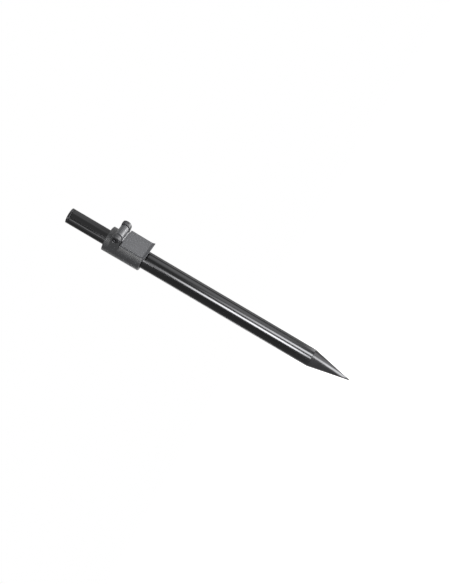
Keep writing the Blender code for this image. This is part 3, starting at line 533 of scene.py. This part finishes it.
def finished(name, shape, material, body, smooth=32.0):
    """Make a smooth-shaded piece that rides on a body. Its large faces keep their own shading."""
    item = loose_object(name, shape)
    item.data.materials.append(material)
    item.data.shade_smooth()
    item.data.set_sharp_from_angle(angle=math.radians(smooth))
    weighted = item.modifiers.new("weighted_normals", "WEIGHTED_NORMAL")
    weighted.keep_sharp = True
    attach(item, body)
    return item


def piece(name, shape, material, body, stands_for, smooth=32.0):
    """Make a finished piece that takes the place of its solid."""
    item = finished(name, shape, material, body, smooth)
    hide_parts(stands_for)


def tube_shape(low, high, radius, hole_height, settings):
    """A drawn tube with its cut ends rounded. Extra rings beside the ends and the hole hold its shading."""
    bore = radius - settings.wall
    beside_end = 0.6 * MM
    beside_hole = 3.0 * MM
    heights = [low, low + beside_end, hole_height - beside_hole, hole_height + beside_hole, high - beside_end,
               high]
    profile = [(bore, height) for height in reversed(heights)] + [(radius, height) for height in heights]
    return soften(spun(profile, settings.facets), settings.edge, 3, sharper_than(60.0))


def helix_ridge(crest, root, foot, height, pitch, facets):
    """A screw thread's ridge, spun up Z, whose crest may lie inside or outside its root."""
    shape = bmesh.new()
    root_half = 0.42 * pitch
    crest_half = 0.07 * pitch
    profile = ((root, -root_half), (crest, -crest_half), (crest, crest_half), (root, root_half))
    line = [shape.verts.new((radius, 0.0, foot + pitch / 2.0 + rise)) for radius, rise in profile]
    edges = [shape.edges.new(pair) for pair in zip(line, line[1:] + line[:1])]
    turns = height / pitch - 1.0
    steps = int(turns * facets)
    bmesh.ops.spin(shape, geom=line + edges, cent=(0.0, 0.0, 0.0), axis=(0.0, 0.0, 1.0),
                   angle=math.tau * turns, steps=steps, dvec=(0.0, 0.0, turns * pitch / steps))
    bmesh.ops.holes_fill(shape, edges=[edge for edge in shape.edges if edge.is_boundary])
    bmesh.ops.recalc_face_normals(shape, faces=shape.faces)
    return shape


class LEG_OT_spike(bpy.types.Operator):
    """Turn the ground spike with its stud, and a small chamfer where the cone meets the tube"""

    bl_idname = "leg.spike"
    bl_label = "Ground Spike"

    def execute(self, context):
        settings = context.scene.leg_tubes
        shoulder = 0.12 * MM
        joint_line = 0.04 * MM
        seat = OUTER_LOW.z - joint_line
        stud_radius = 4.0 * MM
        stud_chamfer = 0.8 * MM
        tip = settings.tip_radius
        slope = math.atan2(OUTER_RADIUS - tip, SPIKE_LENGTH)
        nose_steps = 6
        nose = arc((0.0, tip), tip, -90.0, -math.degrees(slope), nose_steps)
        rim = Vector((OUTER_RADIUS, seat - shoulder))
        beside_nose = 0.025
        profile = nose + [
            tuple(Vector(nose[-1]).lerp(rim, beside_nose)),
            tuple(rim),
            (OUTER_RADIUS - shoulder, seat),
            (stud_radius, seat),
            (stud_radius, SPIKE_HIGH.z - stud_chamfer),
            (stud_radius - stud_chamfer, SPIKE_HIGH.z),
            (0.0, SPIKE_HIGH.z),
        ]
        profile[0] = (0.0, profile[0][1])
        shape = spun(profile, settings.facets)
        piece("spike_turned", shape, turned_anodised(settings), "lower_leg", "spike", smooth=10.0)
        return {"FINISHED"}


class LEG_OT_tubes(bpy.types.Operator):
    """Draw the two tubes, with the screw's hole and the plug pin's holes"""

    bl_idname = "leg.tubes"
    bl_label = "Tubes"

    def execute(self, context):
        settings = context.scene.leg_tubes
        finish = drawn_anodised(settings)
        outer = tube_shape(OUTER_LOW.z, OUTER_HIGH.z, OUTER_RADIUS, SCREW_HEIGHT, settings)
        screw_hole = SCREW_THREAD + FIT_GAP
        drilling = rod(screw_hole, OUTER_RADIUS - OVERCUT, OUTER_RADIUS + OVERCUT, TUBE_HOLE_FACETS)
        outer = combined(outer, on_screw(drilling), "DIFFERENCE")
        piece("outer_tube_drawn", outer, finish, "lower_leg", "outer_tube")

        pin_low, pin_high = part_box("plug_pin")
        pin_height = (pin_low.z + pin_high.z) / 2.0
        inner = tube_shape(INNER_LOW.z, INNER_HIGH.z, INNER_RADIUS, pin_height, settings)
        pin_hole = (pin_high.z - pin_low.z) / 2.0 + FIT_GAP
        reach = INNER_RADIUS + OVERCUT
        drilling = along_x(rod(pin_hole, -reach, reach, TUBE_HOLE_FACETS), (0.0, 0.0, pin_height))
        inner = combined(inner, drilling, "DIFFERENCE")
        piece("inner_tube_drawn", inner, finish, "upper_leg", "inner_tube")
        return {"FINISHED"}


class LEG_OT_top_insert(bpy.types.Operator):
    """Turn the insert in the inner tube's top end and cut the thread in its blind socket"""

    bl_idname = "leg.top_insert"
    bl_label = "Top Insert"

    def execute(self, context):
        settings = context.scene.leg_tubes
        finish = turned_insert(settings)
        flange = 3.0 * MM
        minor = 4.1 * MM
        major = 4.76 * MM
        depth = 15.0 * MM
        chamfer = 0.5 * MM
        edge = 0.35 * MM
        ridge_bite = 0.02 * MM
        top = INSERT_HIGH.z
        spigot = INNER_RADIUS - settings.wall - FIT_GAP
        profile = [
            (0.0, INSERT_LOW.z),
            (spigot, INSERT_LOW.z),
            (spigot, top - flange),
            (INNER_RADIUS, top - flange),
            (INNER_RADIUS, top),
            (major + chamfer, top),
            (major, top - chamfer),
            (major, top - depth + chamfer),
            (minor, top - depth),
            (0.0, top - depth),
        ]
        shape = soften(spun(profile, settings.facets), edge, 3, sharper_than(80.0))
        piece("top_insert_turned", shape, finish, "upper_leg", "top_insert")
        root = major + ridge_bite
        ridge = helix_ridge(minor, root, top - depth, depth, settings.thread_pitch, HOLE_FACETS)
        finished("top_insert_thread", ridge, finish, "upper_leg", smooth=30.0)
        return {"FINISHED"}


def collar_body(settings):
    """The sleeve with its two ears, which are round outwards and flat towards the mouth."""
    ear_flat = 5.2 * MM
    beside_arc = 0.8 * MM
    foot_steps = 6
    mouth_steps = 8
    crown_steps = 36
    low = COLLAR_LOW.z
    high = COLLAR_HIGH.z
    foot_radius = COLLAR_RADIUS - settings.draft
    foot_round = settings.foot_round
    mouth_round = settings.mouth_round
    foot = arc((foot_radius - foot_round, low + foot_round), foot_round, -90.0, 0.0, foot_steps)
    mouth = arc((COLLAR_RADIUS - mouth_round, high - mouth_round), mouth_round, 0.0, 90.0, mouth_steps)
    wall = [(foot[-1][0], foot[-1][1] + beside_arc), (mouth[0][0], mouth[0][1] - beside_arc)]
    shape = spun([(0.0, low)] + foot + wall + mouth + [(0.0, high)], COLLAR_FACETS)
    crown_end = math.degrees(math.asin(ear_flat / EAR_RADIUS))
    crown = arc((PIN_OUT, PIN.z), EAR_RADIUS, -90.0, crown_end, crown_steps)
    outline = [(0.0, PIN.z - EAR_RADIUS)] + crown + [(0.0, PIN.z + ear_flat)]
    for side in (-1.0, 1.0):
        near, far = sorted((side * EAR_INNER, side * EAR_OUTER))
        lug = soften(bar(outline, near, far), settings.ear_round, 4, crosswise)
        shape = combined(shape, lug, "UNION")
    return shape


def collar_cutters():
    """Everything that is cut from the collar: bore, lever seat, window, bolt, nut and screw holes."""
    lip = INNER_RADIUS + LIP_CLEARANCE
    lip_length = 4.0 * MM
    shoulder = COLLAR_HIGH.z - lip_length
    lead = 0.5 * MM
    mouth_lead = 0.7 * MM
    bore = [
        (0.0, COLLAR_LOW.z - OVERCUT),
        (COLLAR_BORE + lead + OVERCUT, COLLAR_LOW.z - OVERCUT),
        (COLLAR_BORE, COLLAR_LOW.z + lead),
        (COLLAR_BORE, shoulder),
        (lip, shoulder),
        (lip, COLLAR_HIGH.z - mouth_lead),
        (lip + mouth_lead + OVERCUT, COLLAR_HIGH.z + OVERCUT),
        (0.0, COLLAR_HIGH.z + OVERCUT),
    ]
    yield spun(bore, COLLAR_FACETS)
    outside = (SEAT_OUT, COLLAR_RADIUS + OVERCUT)
    yield block((-COLLAR_RADIUS, COLLAR_RADIUS), outside, (COLLAR_LOW.z - OVERCUT, PLATE_TOP + FIT_GAP))
    barrel_room = EAR_INNER - FIT_GAP
    yield block((-barrel_room, barrel_room), outside, (PLATE_TOP, PIN.z))
    half_height = (SHOE_HIGH.z - SHOE_LOW.z) / 2.0 + FIT_GAP
    half_width = SHOE_HIGH.x + FIT_GAP
    yield block((-half_width, half_width), (0.0, COLLAR_RADIUS + OVERCUT),
                (PIN.z - half_height, PIN.z + half_height))
    bevel = 0.25 * MM
    head = HEAD_RADIUS + FIT_GAP
    shank = SHANK_RADIUS + FIT_GAP
    drilling = [
        (0.0, -EAR_OUTER - OVERCUT),
        (head + bevel + OVERCUT, -EAR_OUTER - OVERCUT),
        (head, -EAR_OUTER + bevel),
        (head, -HEAD_SEAT),
        (shank, -HEAD_SEAT),
        (shank, EAR_OUTER + OVERCUT),
        (0.0, EAR_OUTER + OVERCUT),
    ]
    yield on_pin(spun(drilling, PIN_FACETS))
    yield hexagon(head, HEAD_SEAT, EAR_OUTER + OVERCUT)
    cone = SCREW_HEAD + FIT_GAP * math.sqrt(2.0)
    thread = SCREW_THREAD + FIT_GAP
    face = SCREW_HIGH.y
    sink = [
        (0.0, COLLAR_BORE - OVERCUT),
        (thread, COLLAR_BORE - OVERCUT),
        (thread, face - (cone - thread)),
        (cone, face),
        (cone, COLLAR_RADIUS + OVERCUT),
        (0.0, COLLAR_RADIUS + OVERCUT),
    ]
    yield on_screw(spun(sink, HOLE_FACETS))


class LEG_OT_collar(bpy.types.Operator):
    """Mould the clamp's collar with its ears, lever seat, shoe window and counterbores"""

    bl_idname = "leg.collar"
    bl_label = "Clamp Collar"

    def execute(self, context):
        settings = context.scene.leg_clamp
        shape = collar_body(settings)
        for cutter in collar_cutters():
            shape = combined(shape, cutter, "DIFFERENCE")
        colour = settings.collar_colour
        finish = moulded_nylon("black_moulded_nylon", colour, settings.roughness, specular=0.26)
        piece("collar_moulding", shape, finish, "lower_leg", "clamp_collar")
        return {"FINISHED"}


def cam_radius(degrees):
    """The cam's radius by its turn from the locking flat: it falls evenly, rests, and meets the barrel."""
    cam = PIN_OUT - CAM_FACE
    lift = 1.0 * MM
    fall_end = 120.0
    rest_end = 130.0
    rise_turn = 60.0
    if degrees <= fall_end:
        return cam - lift * degrees / fall_end
    share = min(max((degrees - rest_end) / rise_turn, 0.0), 1.0)
    return cam - lift + (BARREL_RADIUS - cam + lift) * share


def barrel_shape(plate_outer):
    """The lever's barrel: locking flat, spiral cam, and a fillet down into the plate."""
    shoulder_drop = 0.9 * MM
    sink = 0.3 * MM
    edge = 0.3 * MM
    overlap = 3.0 * MM
    steps = 110
    fillet_steps = 12
    root = PLATE_TOP - overlap
    last = 360.0 - math.degrees(math.acos(shoulder_drop / BARREL_RADIUS))
    outline = []
    for step in range(steps + 1):
        degrees = last * step / steps
        inwards, up = polar(cam_radius(degrees), degrees)
        outline.append((PIN_OUT - inwards, PIN.z + up))
    shoulder_out, shoulder_height = outline[-1]
    fillet = shoulder_out - (plate_outer - sink)
    outline += arc((shoulder_out, shoulder_height - fillet), fillet, 90.0, 180.0, fillet_steps)[1:]
    outline += [(plate_outer - 2.0 * sink, root), (CAM_FACE, root)]
    return soften(bar(outline, -BARREL_HALF_WIDTH, BARREL_HALF_WIDTH), edge, 2, crosswise)


def plate_shape(settings, plate_outer):
    """The lever's arm: crowned sections bridged down its length, with the free end flicked outwards."""
    taper = 0.4 * MM
    crown = 0.5 * MM
    flick_length = 3.8 * MM
    flick_curve = 1.25
    flick_steps = 10
    across_steps = 24
    length = PLATE_TOP - PLATE_FOOT
    crease = PLATE_FOOT + flick_length
    stations = [(PLATE_TOP, 0.0), (crease, 0.0)]
    for step in range(1, flick_steps + 1):
        share = step / flick_steps
        stations.append((crease - flick_length * share, share))
    shape = bmesh.new()
    rings = []
    for height, share in stations:
        half = PLATE_HALF_WIDTH - taper * (PLATE_TOP - height) / length
        rise = settings.flick * share ** flick_curve
        points = [(-half, PLATE_INNER + rise), (half, PLATE_INNER + rise)]
        for step in range(across_steps + 1):
            across = half * (1.0 - 2.0 * step / across_steps)
            points.append((across, plate_outer + rise - crown * (across / half) ** 2))
        line = [shape.verts.new((across, -out, height)) for across, out in points]
        rings.append([shape.edges.new(pair) for pair in zip(line, line[1:] + line[:1])])
    for upper, lower in zip(rings, rings[1:]):
        bmesh.ops.bridge_loops(shape, edges=upper + lower)
    bmesh.ops.holes_fill(shape, edges=[edge for edge in shape.edges if edge.is_boundary])
    bmesh.ops.recalc_face_normals(shape, faces=shape.faces)
    return soften(shape, settings.plate_round, 4, sharper_than(50.0))


class LEG_OT_lever(bpy.types.Operator):
    """Mould the cam lever: flicked arm, cam barrel, pin hole and the cored pockets under the arm"""

    bl_idname = "leg.lever"
    bl_label = "Cam Lever"

    def execute(self, context):
        settings = context.scene.leg_clamp
        plate_outer = PLATE_INNER + settings.plate_thickness
        shape = combined(plate_shape(settings, plate_outer), barrel_shape(plate_outer), "UNION")
        drilling = rod(SHANK_RADIUS + FIT_GAP, -EAR_INNER, EAR_INNER, HOLE_FACETS)
        shape = combined(shape, on_pin(drilling), "DIFFERENCE")
        rib = 1.6 * MM
        wall = 2.4 * MM
        depth = 1.3 * MM
        corner = 0.35 * MM
        above_foot = 6.8 * MM
        below_barrel = 5.0 * MM
        heights = (PLATE_FOOT + above_foot, PLATE_TOP - below_barrel)
        for side in (-1.0, 1.0):
            span = sorted((side * rib / 2.0, side * (PLATE_HALF_WIDTH - wall)))
            pocket = block(span, (PLATE_INNER - OVERCUT, PLATE_INNER + depth), heights)
            shape = combined(shape, soften(pocket, corner, 3, sharper_than(60.0)), "DIFFERENCE")
        colour = settings.lever_colour
        finish = moulded_nylon("grey_moulded_nylon", colour, settings.roughness, specular=0.40)
        piece("lever_moulding", shape, finish, "lever", "cam_lever")
        return {"FINISHED"}


class LEG_OT_fasteners(bpy.types.Operator):
    """Make the pivot bolt, its nut and washers, and the collar's screw"""

    bl_idname = "leg.fasteners"
    bl_label = "Fasteners"

    def execute(self, context):
        clamp = context.scene.leg_clamp
        steel = blackened_steel()
        nylon = moulded_nylon("washer_moulded_nylon", clamp.collar_colour, clamp.roughness, specular=0.40)
        self.turn_bolt(steel)
        self.press_nut(steel)
        self.stamp_washers(nylon)
        self.turn_screw(steel)
        return {"FINISHED"}

    def turn_bolt(self, steel):
        """The pivot bolt: a round head with a hexagon socket, and a plain shank."""
        head_height = 3.0 * MM
        edge = 0.35 * MM
        edge_middle = edge * 0.3
        socket_half = 1.25 * MM
        socket_depth = 2.0 * MM
        lead_radius = 1.75 * MM
        lead_depth = 0.5 * MM
        low = BOLT_LOW.x
        high = BOLT_HIGH.x
        profile = [
            (0.0, low),
            (HEAD_RADIUS - edge, low),
            (HEAD_RADIUS - edge_middle, low + edge_middle),
            (HEAD_RADIUS, low + edge),
            (HEAD_RADIUS, low + head_height),
            (SHANK_RADIUS, low + head_height),
            (SHANK_RADIUS, high - edge),
            (SHANK_RADIUS - edge, high),
            (0.0, high),
        ]
        bolt = on_pin(spun(profile, PIN_FACETS))
        bolt = combined(bolt, hexagon(socket_half, low - OVERCUT, low + socket_depth), "DIFFERENCE")
        lead = [
            (0.0, low - OVERCUT),
            (lead_radius + OVERCUT, low - OVERCUT),
            (socket_half, low + lead_depth),
            (0.0, low + lead_depth),
        ]
        bolt = combined(bolt, on_pin(spun(lead, HOLE_FACETS)), "DIFFERENCE")
        piece("lever_bolt_turned", bolt, steel, "lower_leg", "lever_bolt")

    def press_nut(self, steel):
        """The hexagon nut in the far ear, crowned on its outer side."""
        crown_height = 0.3 * MM
        crown_radius = HEAD_RADIUS * 0.96
        lead = 0.4 * MM
        low = NUT_LOW.x
        high = NUT_HIGH.x
        corner = hexagon_corner(HEAD_RADIUS)
        crown = [
            (0.0, low),
            (corner, low),
            (corner, high - crown_height),
            (crown_radius, high),
            (0.0, high),
        ]
        nut = combined(hexagon(HEAD_RADIUS, low, high), on_pin(spun(crown, PIN_FACETS)), "INTERSECT")
        bore = SHANK_RADIUS + FIT_GAP
        hole = [
            (0.0, low - OVERCUT),
            (bore, low - OVERCUT),
            (bore, high - lead),
            (bore + lead + OVERCUT, high + OVERCUT),
            (0.0, high + OVERCUT),
        ]
        nut = combined(nut, on_pin(spun(hole, HOLE_FACETS)), "DIFFERENCE")
        piece("lever_nut_pressed", nut, steel, "lower_leg", "lever_nut")

    def stamp_washers(self, nylon):
        """The slip washers on both sides of the lever's barrel."""
        edge = 0.12 * MM
        bore = SHANK_RADIUS + FIT_GAP
        radius = (WASHER_HIGH.z - WASHER_LOW.z) / 2.0
        for name, side in (("near", -1.0), ("far", 1.0)):
            inner, outer = sorted((side * WASHER_LOW.x, side * WASHER_HIGH.x))
            ring = [(bore, inner), (radius, inner), (radius, outer), (bore, outer)]
            washer = soften(on_pin(spun(ring, PIN_FACETS)), edge, 2, sharper_than(60.0))
            piece(f"washer_{name}_stamped", washer, nylon, "lever", f"lever_washer_{name}")

    def turn_screw(self, steel):
        """The countersunk screw that holds the collar, with a straight slot."""
        edge = 0.1 * MM
        slot_half = 0.4 * MM
        slot_depth = 0.7 * MM
        face = SCREW_HIGH.y
        profile = [
            (0.0, SCREW_LOW.y),
            (SCREW_THREAD, SCREW_LOW.y),
            (SCREW_THREAD, face - (SCREW_HEAD - SCREW_THREAD)),
            (SCREW_HEAD, face - edge),
            (SCREW_HEAD - edge, face),
            (0.0, face),
        ]
        screw = on_screw(spun(profile, HOLE_FACETS))
        slot = block((-SCREW_HEAD - OVERCUT, SCREW_HEAD + OVERCUT), (-face - OVERCUT, -face + slot_depth),
                     (SCREW_HEIGHT - slot_half, SCREW_HEIGHT + slot_half))
        screw = combined(screw, slot, "DIFFERENCE")
        piece("collar_screw_turned", screw, steel, "lower_leg", "collar_screw")


class LEG_OT_inner_pieces(bpy.types.Operator):
    """Give the pieces inside the leg their finishes"""

    bl_idname = "leg.inner_pieces"
    bl_label = "Inner Pieces"

    def execute(self, context):
        clamp = context.scene.leg_clamp
        tubes = context.scene.leg_tubes
        duller = clamp.roughness + 0.05
        nylon = moulded_nylon("inner_moulded_nylon", clamp.collar_colour, duller, specular=0.40)
        acetal = natural_acetal()
        rubber = matt_rubber()
        finishes = {
            "spike_socket": turned_insert(tubes),
            "closing_buffer": rubber,
            "collar_liner": acetal,
            "guide_plug": nylon,
            "guide_ring": acetal,
            "plug_pin": blackened_steel(),
            "pressure_shoe": nylon,
            "shoe_pad": rubber,
            "shoe_wear_plate": rolled_strip(),
        }
        for node, finish in finishes.items():
            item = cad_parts[node]
            item.data.materials.clear()
            item.data.materials.append(finish)
        return {"FINISHED"}


def round_the_leg(azimuth, distance, height):
    """A point by its turn from the lever's side, its distance from the leg's axis and its height."""
    return Vector((math.sin(azimuth) * distance, -math.cos(azimuth) * distance, height))


def aimed(item, target, roll=0.0):
    """Point a camera or a lamp at a place, turned about its own axis."""
    level = (target - item.location).to_track_quat("-Z", "Y")
    item.rotation_mode = "QUATERNION"
    item.rotation_quaternion = level @ Quaternion((0.0, 0.0, 1.0), -roll)


def softbox(name, azimuth, distance, height, target, size, level, fades=(0.3, 0.3, 0.3)):
    """An area lamp of a given brightness, where 1 is a white surface in plain light.

    It hangs at an azimuth in degrees, a distance from the leg's axis and a height, and faces the
    axis at the target's height. It fades out over a share of its face at its sides, foot and head.
    """
    lamp = bpy.data.lights.new(name, "AREA")
    lamp.shape = "RECTANGLE"
    lamp.size, lamp.size_y = size
    lamp.energy = level * math.pi * size[0] * size[1]
    paint = Paint(lamp)
    place = paint.node("ShaderNodeNewGeometry", output="Parametric")
    across = paint.node("ShaderNodeSeparateXYZ", None, {0: place}, "X")
    up = paint.node("ShaderNodeSeparateXYZ", None, {0: place}, "Y")
    sides, foot, head = fades
    glow = paint.eased(across, sides) * paint.eased(1.0 - across, sides)
    glow = glow * paint.eased(up, foot) * paint.eased(1.0 - up, head)
    paint.fill(paint.nodes["Emission"].inputs["Strength"], glow)
    item = bpy.data.objects.new(name, lamp)
    bpy.context.scene.collection.objects.link(item)
    item.location = round_the_leg(math.radians(azimuth), distance, height)
    aimed(item, Vector((0.0, 0.0, target)))
    item.visible_camera = False


class LEG_OT_studio(bpy.types.Operator):
    """Lay the floor and set the lamps, the surroundings and the camera"""

    bl_idname = "leg.studio"
    bl_label = "Studio"

    def execute(self, context):
        settings = context.scene.leg_studio
        self.lay_floor(settings)
        self.hang_lamps()
        self.colour_world(context, settings)
        self.place_camera(context, settings)
        context.scene.view_settings.view_transform = "Standard"
        return {"FINISHED"}

    def lay_floor(self, settings):
        """A pale floor that glows for the camera and in reflections, and keeps the leg's shadow."""
        half = 4.0
        below = -0.2 * MM
        near_radius = 0.3
        far_radius = 1.6
        near_glow = 0.44
        far_glow = 0.10
        shape = bmesh.new()
        bmesh.ops.create_grid(shape, x_segments=1, y_segments=1, size=half)
        bmesh.ops.translate(shape, verts=shape.verts, vec=(0.0, 0.0, below))
        floor = loose_object("studio_floor", shape)
        paint = new_paint("studio_floor_white")
        where = paint.node("ShaderNodeTexCoord", output="Object")
        reach = paint.node("ShaderNodeVectorMath", {"operation": "LENGTH"}, {0: where}, "Value")
        far = paint.spread(reach, near_radius, far_radius)
        glow = self.seen_directly(paint) * (near_glow + far * far_glow)
        paint.surface(Base_Color=opaque(settings.floor), Roughness=1.0, Specular_IOR_Level=0.0,
                      Emission_Color=(1.0, 1.0, 1.0, 1.0), Emission_Strength=glow)
        floor.data.materials.append(paint.owner)

    def seen_directly(self, paint):
        """1 for a ray from the camera or one mirrored or let through by a surface, otherwise 0."""
        path = "ShaderNodeLightPath"
        straight = paint.node(path, output="Is Camera Ray")
        mirrored = paint.node(path, output="Is Glossy Ray")
        through = paint.node(path, output="Is Transmission Ray")
        return straight.larger(mirrored).larger(through)

    def hang_lamps(self):
        """Boxes and strips round the leg, and cards that lie on the floor and face almost straight up."""
        above = 6.0
        far_above = 60.0
        softbox("key_strip", -47.5, 0.50, 0.1725, 0.18, (0.24, 0.345), 62.0, (0.38, 0.09, 0.55))
        softbox("sleeve_box", -62.0, 0.50, 0.350, 0.30, (0.16, 0.060), 36.0, (0.3, 0.1, 0.1))
        softbox("point_box", -10.0, 0.32, 0.125, 0.12, (0.17, 0.25), 46.0, (0.40, 0.02, 0.90))
        softbox("point_card", -12.0, 0.070, 0.003, above, (0.05, 0.13), 33.0, (0.3, 0.02, 0.3))
        softbox("flank_card", 32.0, 0.090, 0.003, above, (0.11, 0.14), 5.5, (0.2, 0.05, 0.3))
        softbox("side_box", 26.0, 0.75, 0.21, 0.24, (0.94, 0.42), 4.6, (0.4, 0.05, 0.2))
        softbox("flank_box", 78.0, 0.75, 0.21, 0.24, (0.46, 0.42), 4.2, (0.5, 0.05, 0.2))
        softbox("barrel_card", 68.0, 0.37, 0.003, far_above, (0.46, 0.26), 24.0, (0.3, 0.2, 0.2))
        softbox("upper_box", -10.0, 0.80, 0.57, 0.33, (1.60, 0.52), 0.6, (0.15, 0.30, 0.2))
        softbox("upper_left_box", -98.0, 0.80, 0.57, 0.33, (0.80, 0.52), 0.8, (0.2, 0.30, 0.2))
        softbox("upper_right_box", 48.0, 0.80, 0.59, 0.33, (1.50, 0.36), 2.4, (0.3, 0.30, 0.3))
        softbox("upper_strip", -84.0, 0.55, 0.46, 0.33, (0.12, 0.26), 9.5)
        softbox("top_box", -40.0, 0.12, 0.90, 0.30, (0.34, 0.34), 8.0)
        softbox("rear_box", 150.0, 0.90, 0.40, 0.20, (0.50, 0.60), 1.3)
        softbox("rear_strip", 180.0, 0.60, 0.18, 0.18, (0.12, 0.44), 7.5)

    def colour_world(self, context, settings):
        """White where it is seen or mirrored, and dimmer as a light."""
        world = bpy.data.worlds.new("studio_surroundings")
        context.scene.world = world
        paint = Paint(world)
        strength = settings.fill + self.seen_directly(paint) * (1.0 - settings.fill)
        sky = paint.nodes["Background"]
        paint.fill(sky.inputs["Color"], (1.0, 1.0, 1.0, 1.0))
        paint.fill(sky.inputs["Strength"], strength)

    def place_camera(self, context, settings):
        """Stand the camera at its angles and distance from the clamp, aimed at the frame's centre."""
        clamp_height = 295.0 * MM
        aim = Vector((17.7, -3.2, 174.4)) * MM
        camera = bpy.data.cameras.new("photo_camera")
        camera.lens = settings.lens
        camera.clip_start = 0.01
        item = bpy.data.objects.new("photo_camera", camera)
        context.scene.collection.objects.link(item)
        flat = settings.distance * math.cos(settings.elevation)
        rise = settings.distance * math.sin(settings.elevation)
        item.location = round_the_leg(settings.azimuth, flat, clamp_height + rise)
        aimed(item, aim, settings.roll)
        context.scene.camera = item


class LEG_PT_panel(bpy.types.Panel):
    """The leg's settings and the steps that build it"""

    bl_idname = "LEG_PT_panel"
    bl_label = "Rod Pod Leg"
    bl_space_type = "VIEW_3D"
    bl_region_type = "UI"
    bl_category = "Rod Pod Leg"

    def draw(self, context):
        scene = context.scene
        for settings in (scene.leg_tubes, scene.leg_clamp, scene.leg_studio):
            box = self.layout.box()
            for name in settings.__annotations__:
                box.prop(settings, name)
        for operator in STEPS:
            self.layout.operator(operator.bl_idname)


STEPS = (
    LEG_OT_spike,
    LEG_OT_tubes,
    LEG_OT_top_insert,
    LEG_OT_collar,
    LEG_OT_lever,
    LEG_OT_fasteners,
    LEG_OT_inner_pieces,
    LEG_OT_studio,
)
SETTINGS = {"leg_tubes": LegTubeSettings, "leg_clamp": LegClampSettings, "leg_studio": LegStudioSettings}


def register():
    for item in (*SETTINGS.values(), *STEPS, LEG_PT_panel):
        bpy.utils.register_class(item)
    for name, group in SETTINGS.items():
        setattr(bpy.types.Scene, name, PointerProperty(type=group))


def unregister():
    for name in SETTINGS:
        delattr(bpy.types.Scene, name)
    for item in reversed((*SETTINGS.values(), *STEPS, LEG_PT_panel)):
        bpy.utils.unregister_class(item)


def main():
    """Build the dressed leg and its studio."""
    register()
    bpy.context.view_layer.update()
    bpy.ops.leg.spike()
    bpy.ops.leg.tubes()
    bpy.ops.leg.top_insert()
    bpy.ops.leg.collar()
    bpy.ops.leg.lever()
    bpy.ops.leg.fasteners()
    bpy.ops.leg.inner_pieces()
    bpy.ops.leg.studio()


if __name__ == "__main__":
    main()
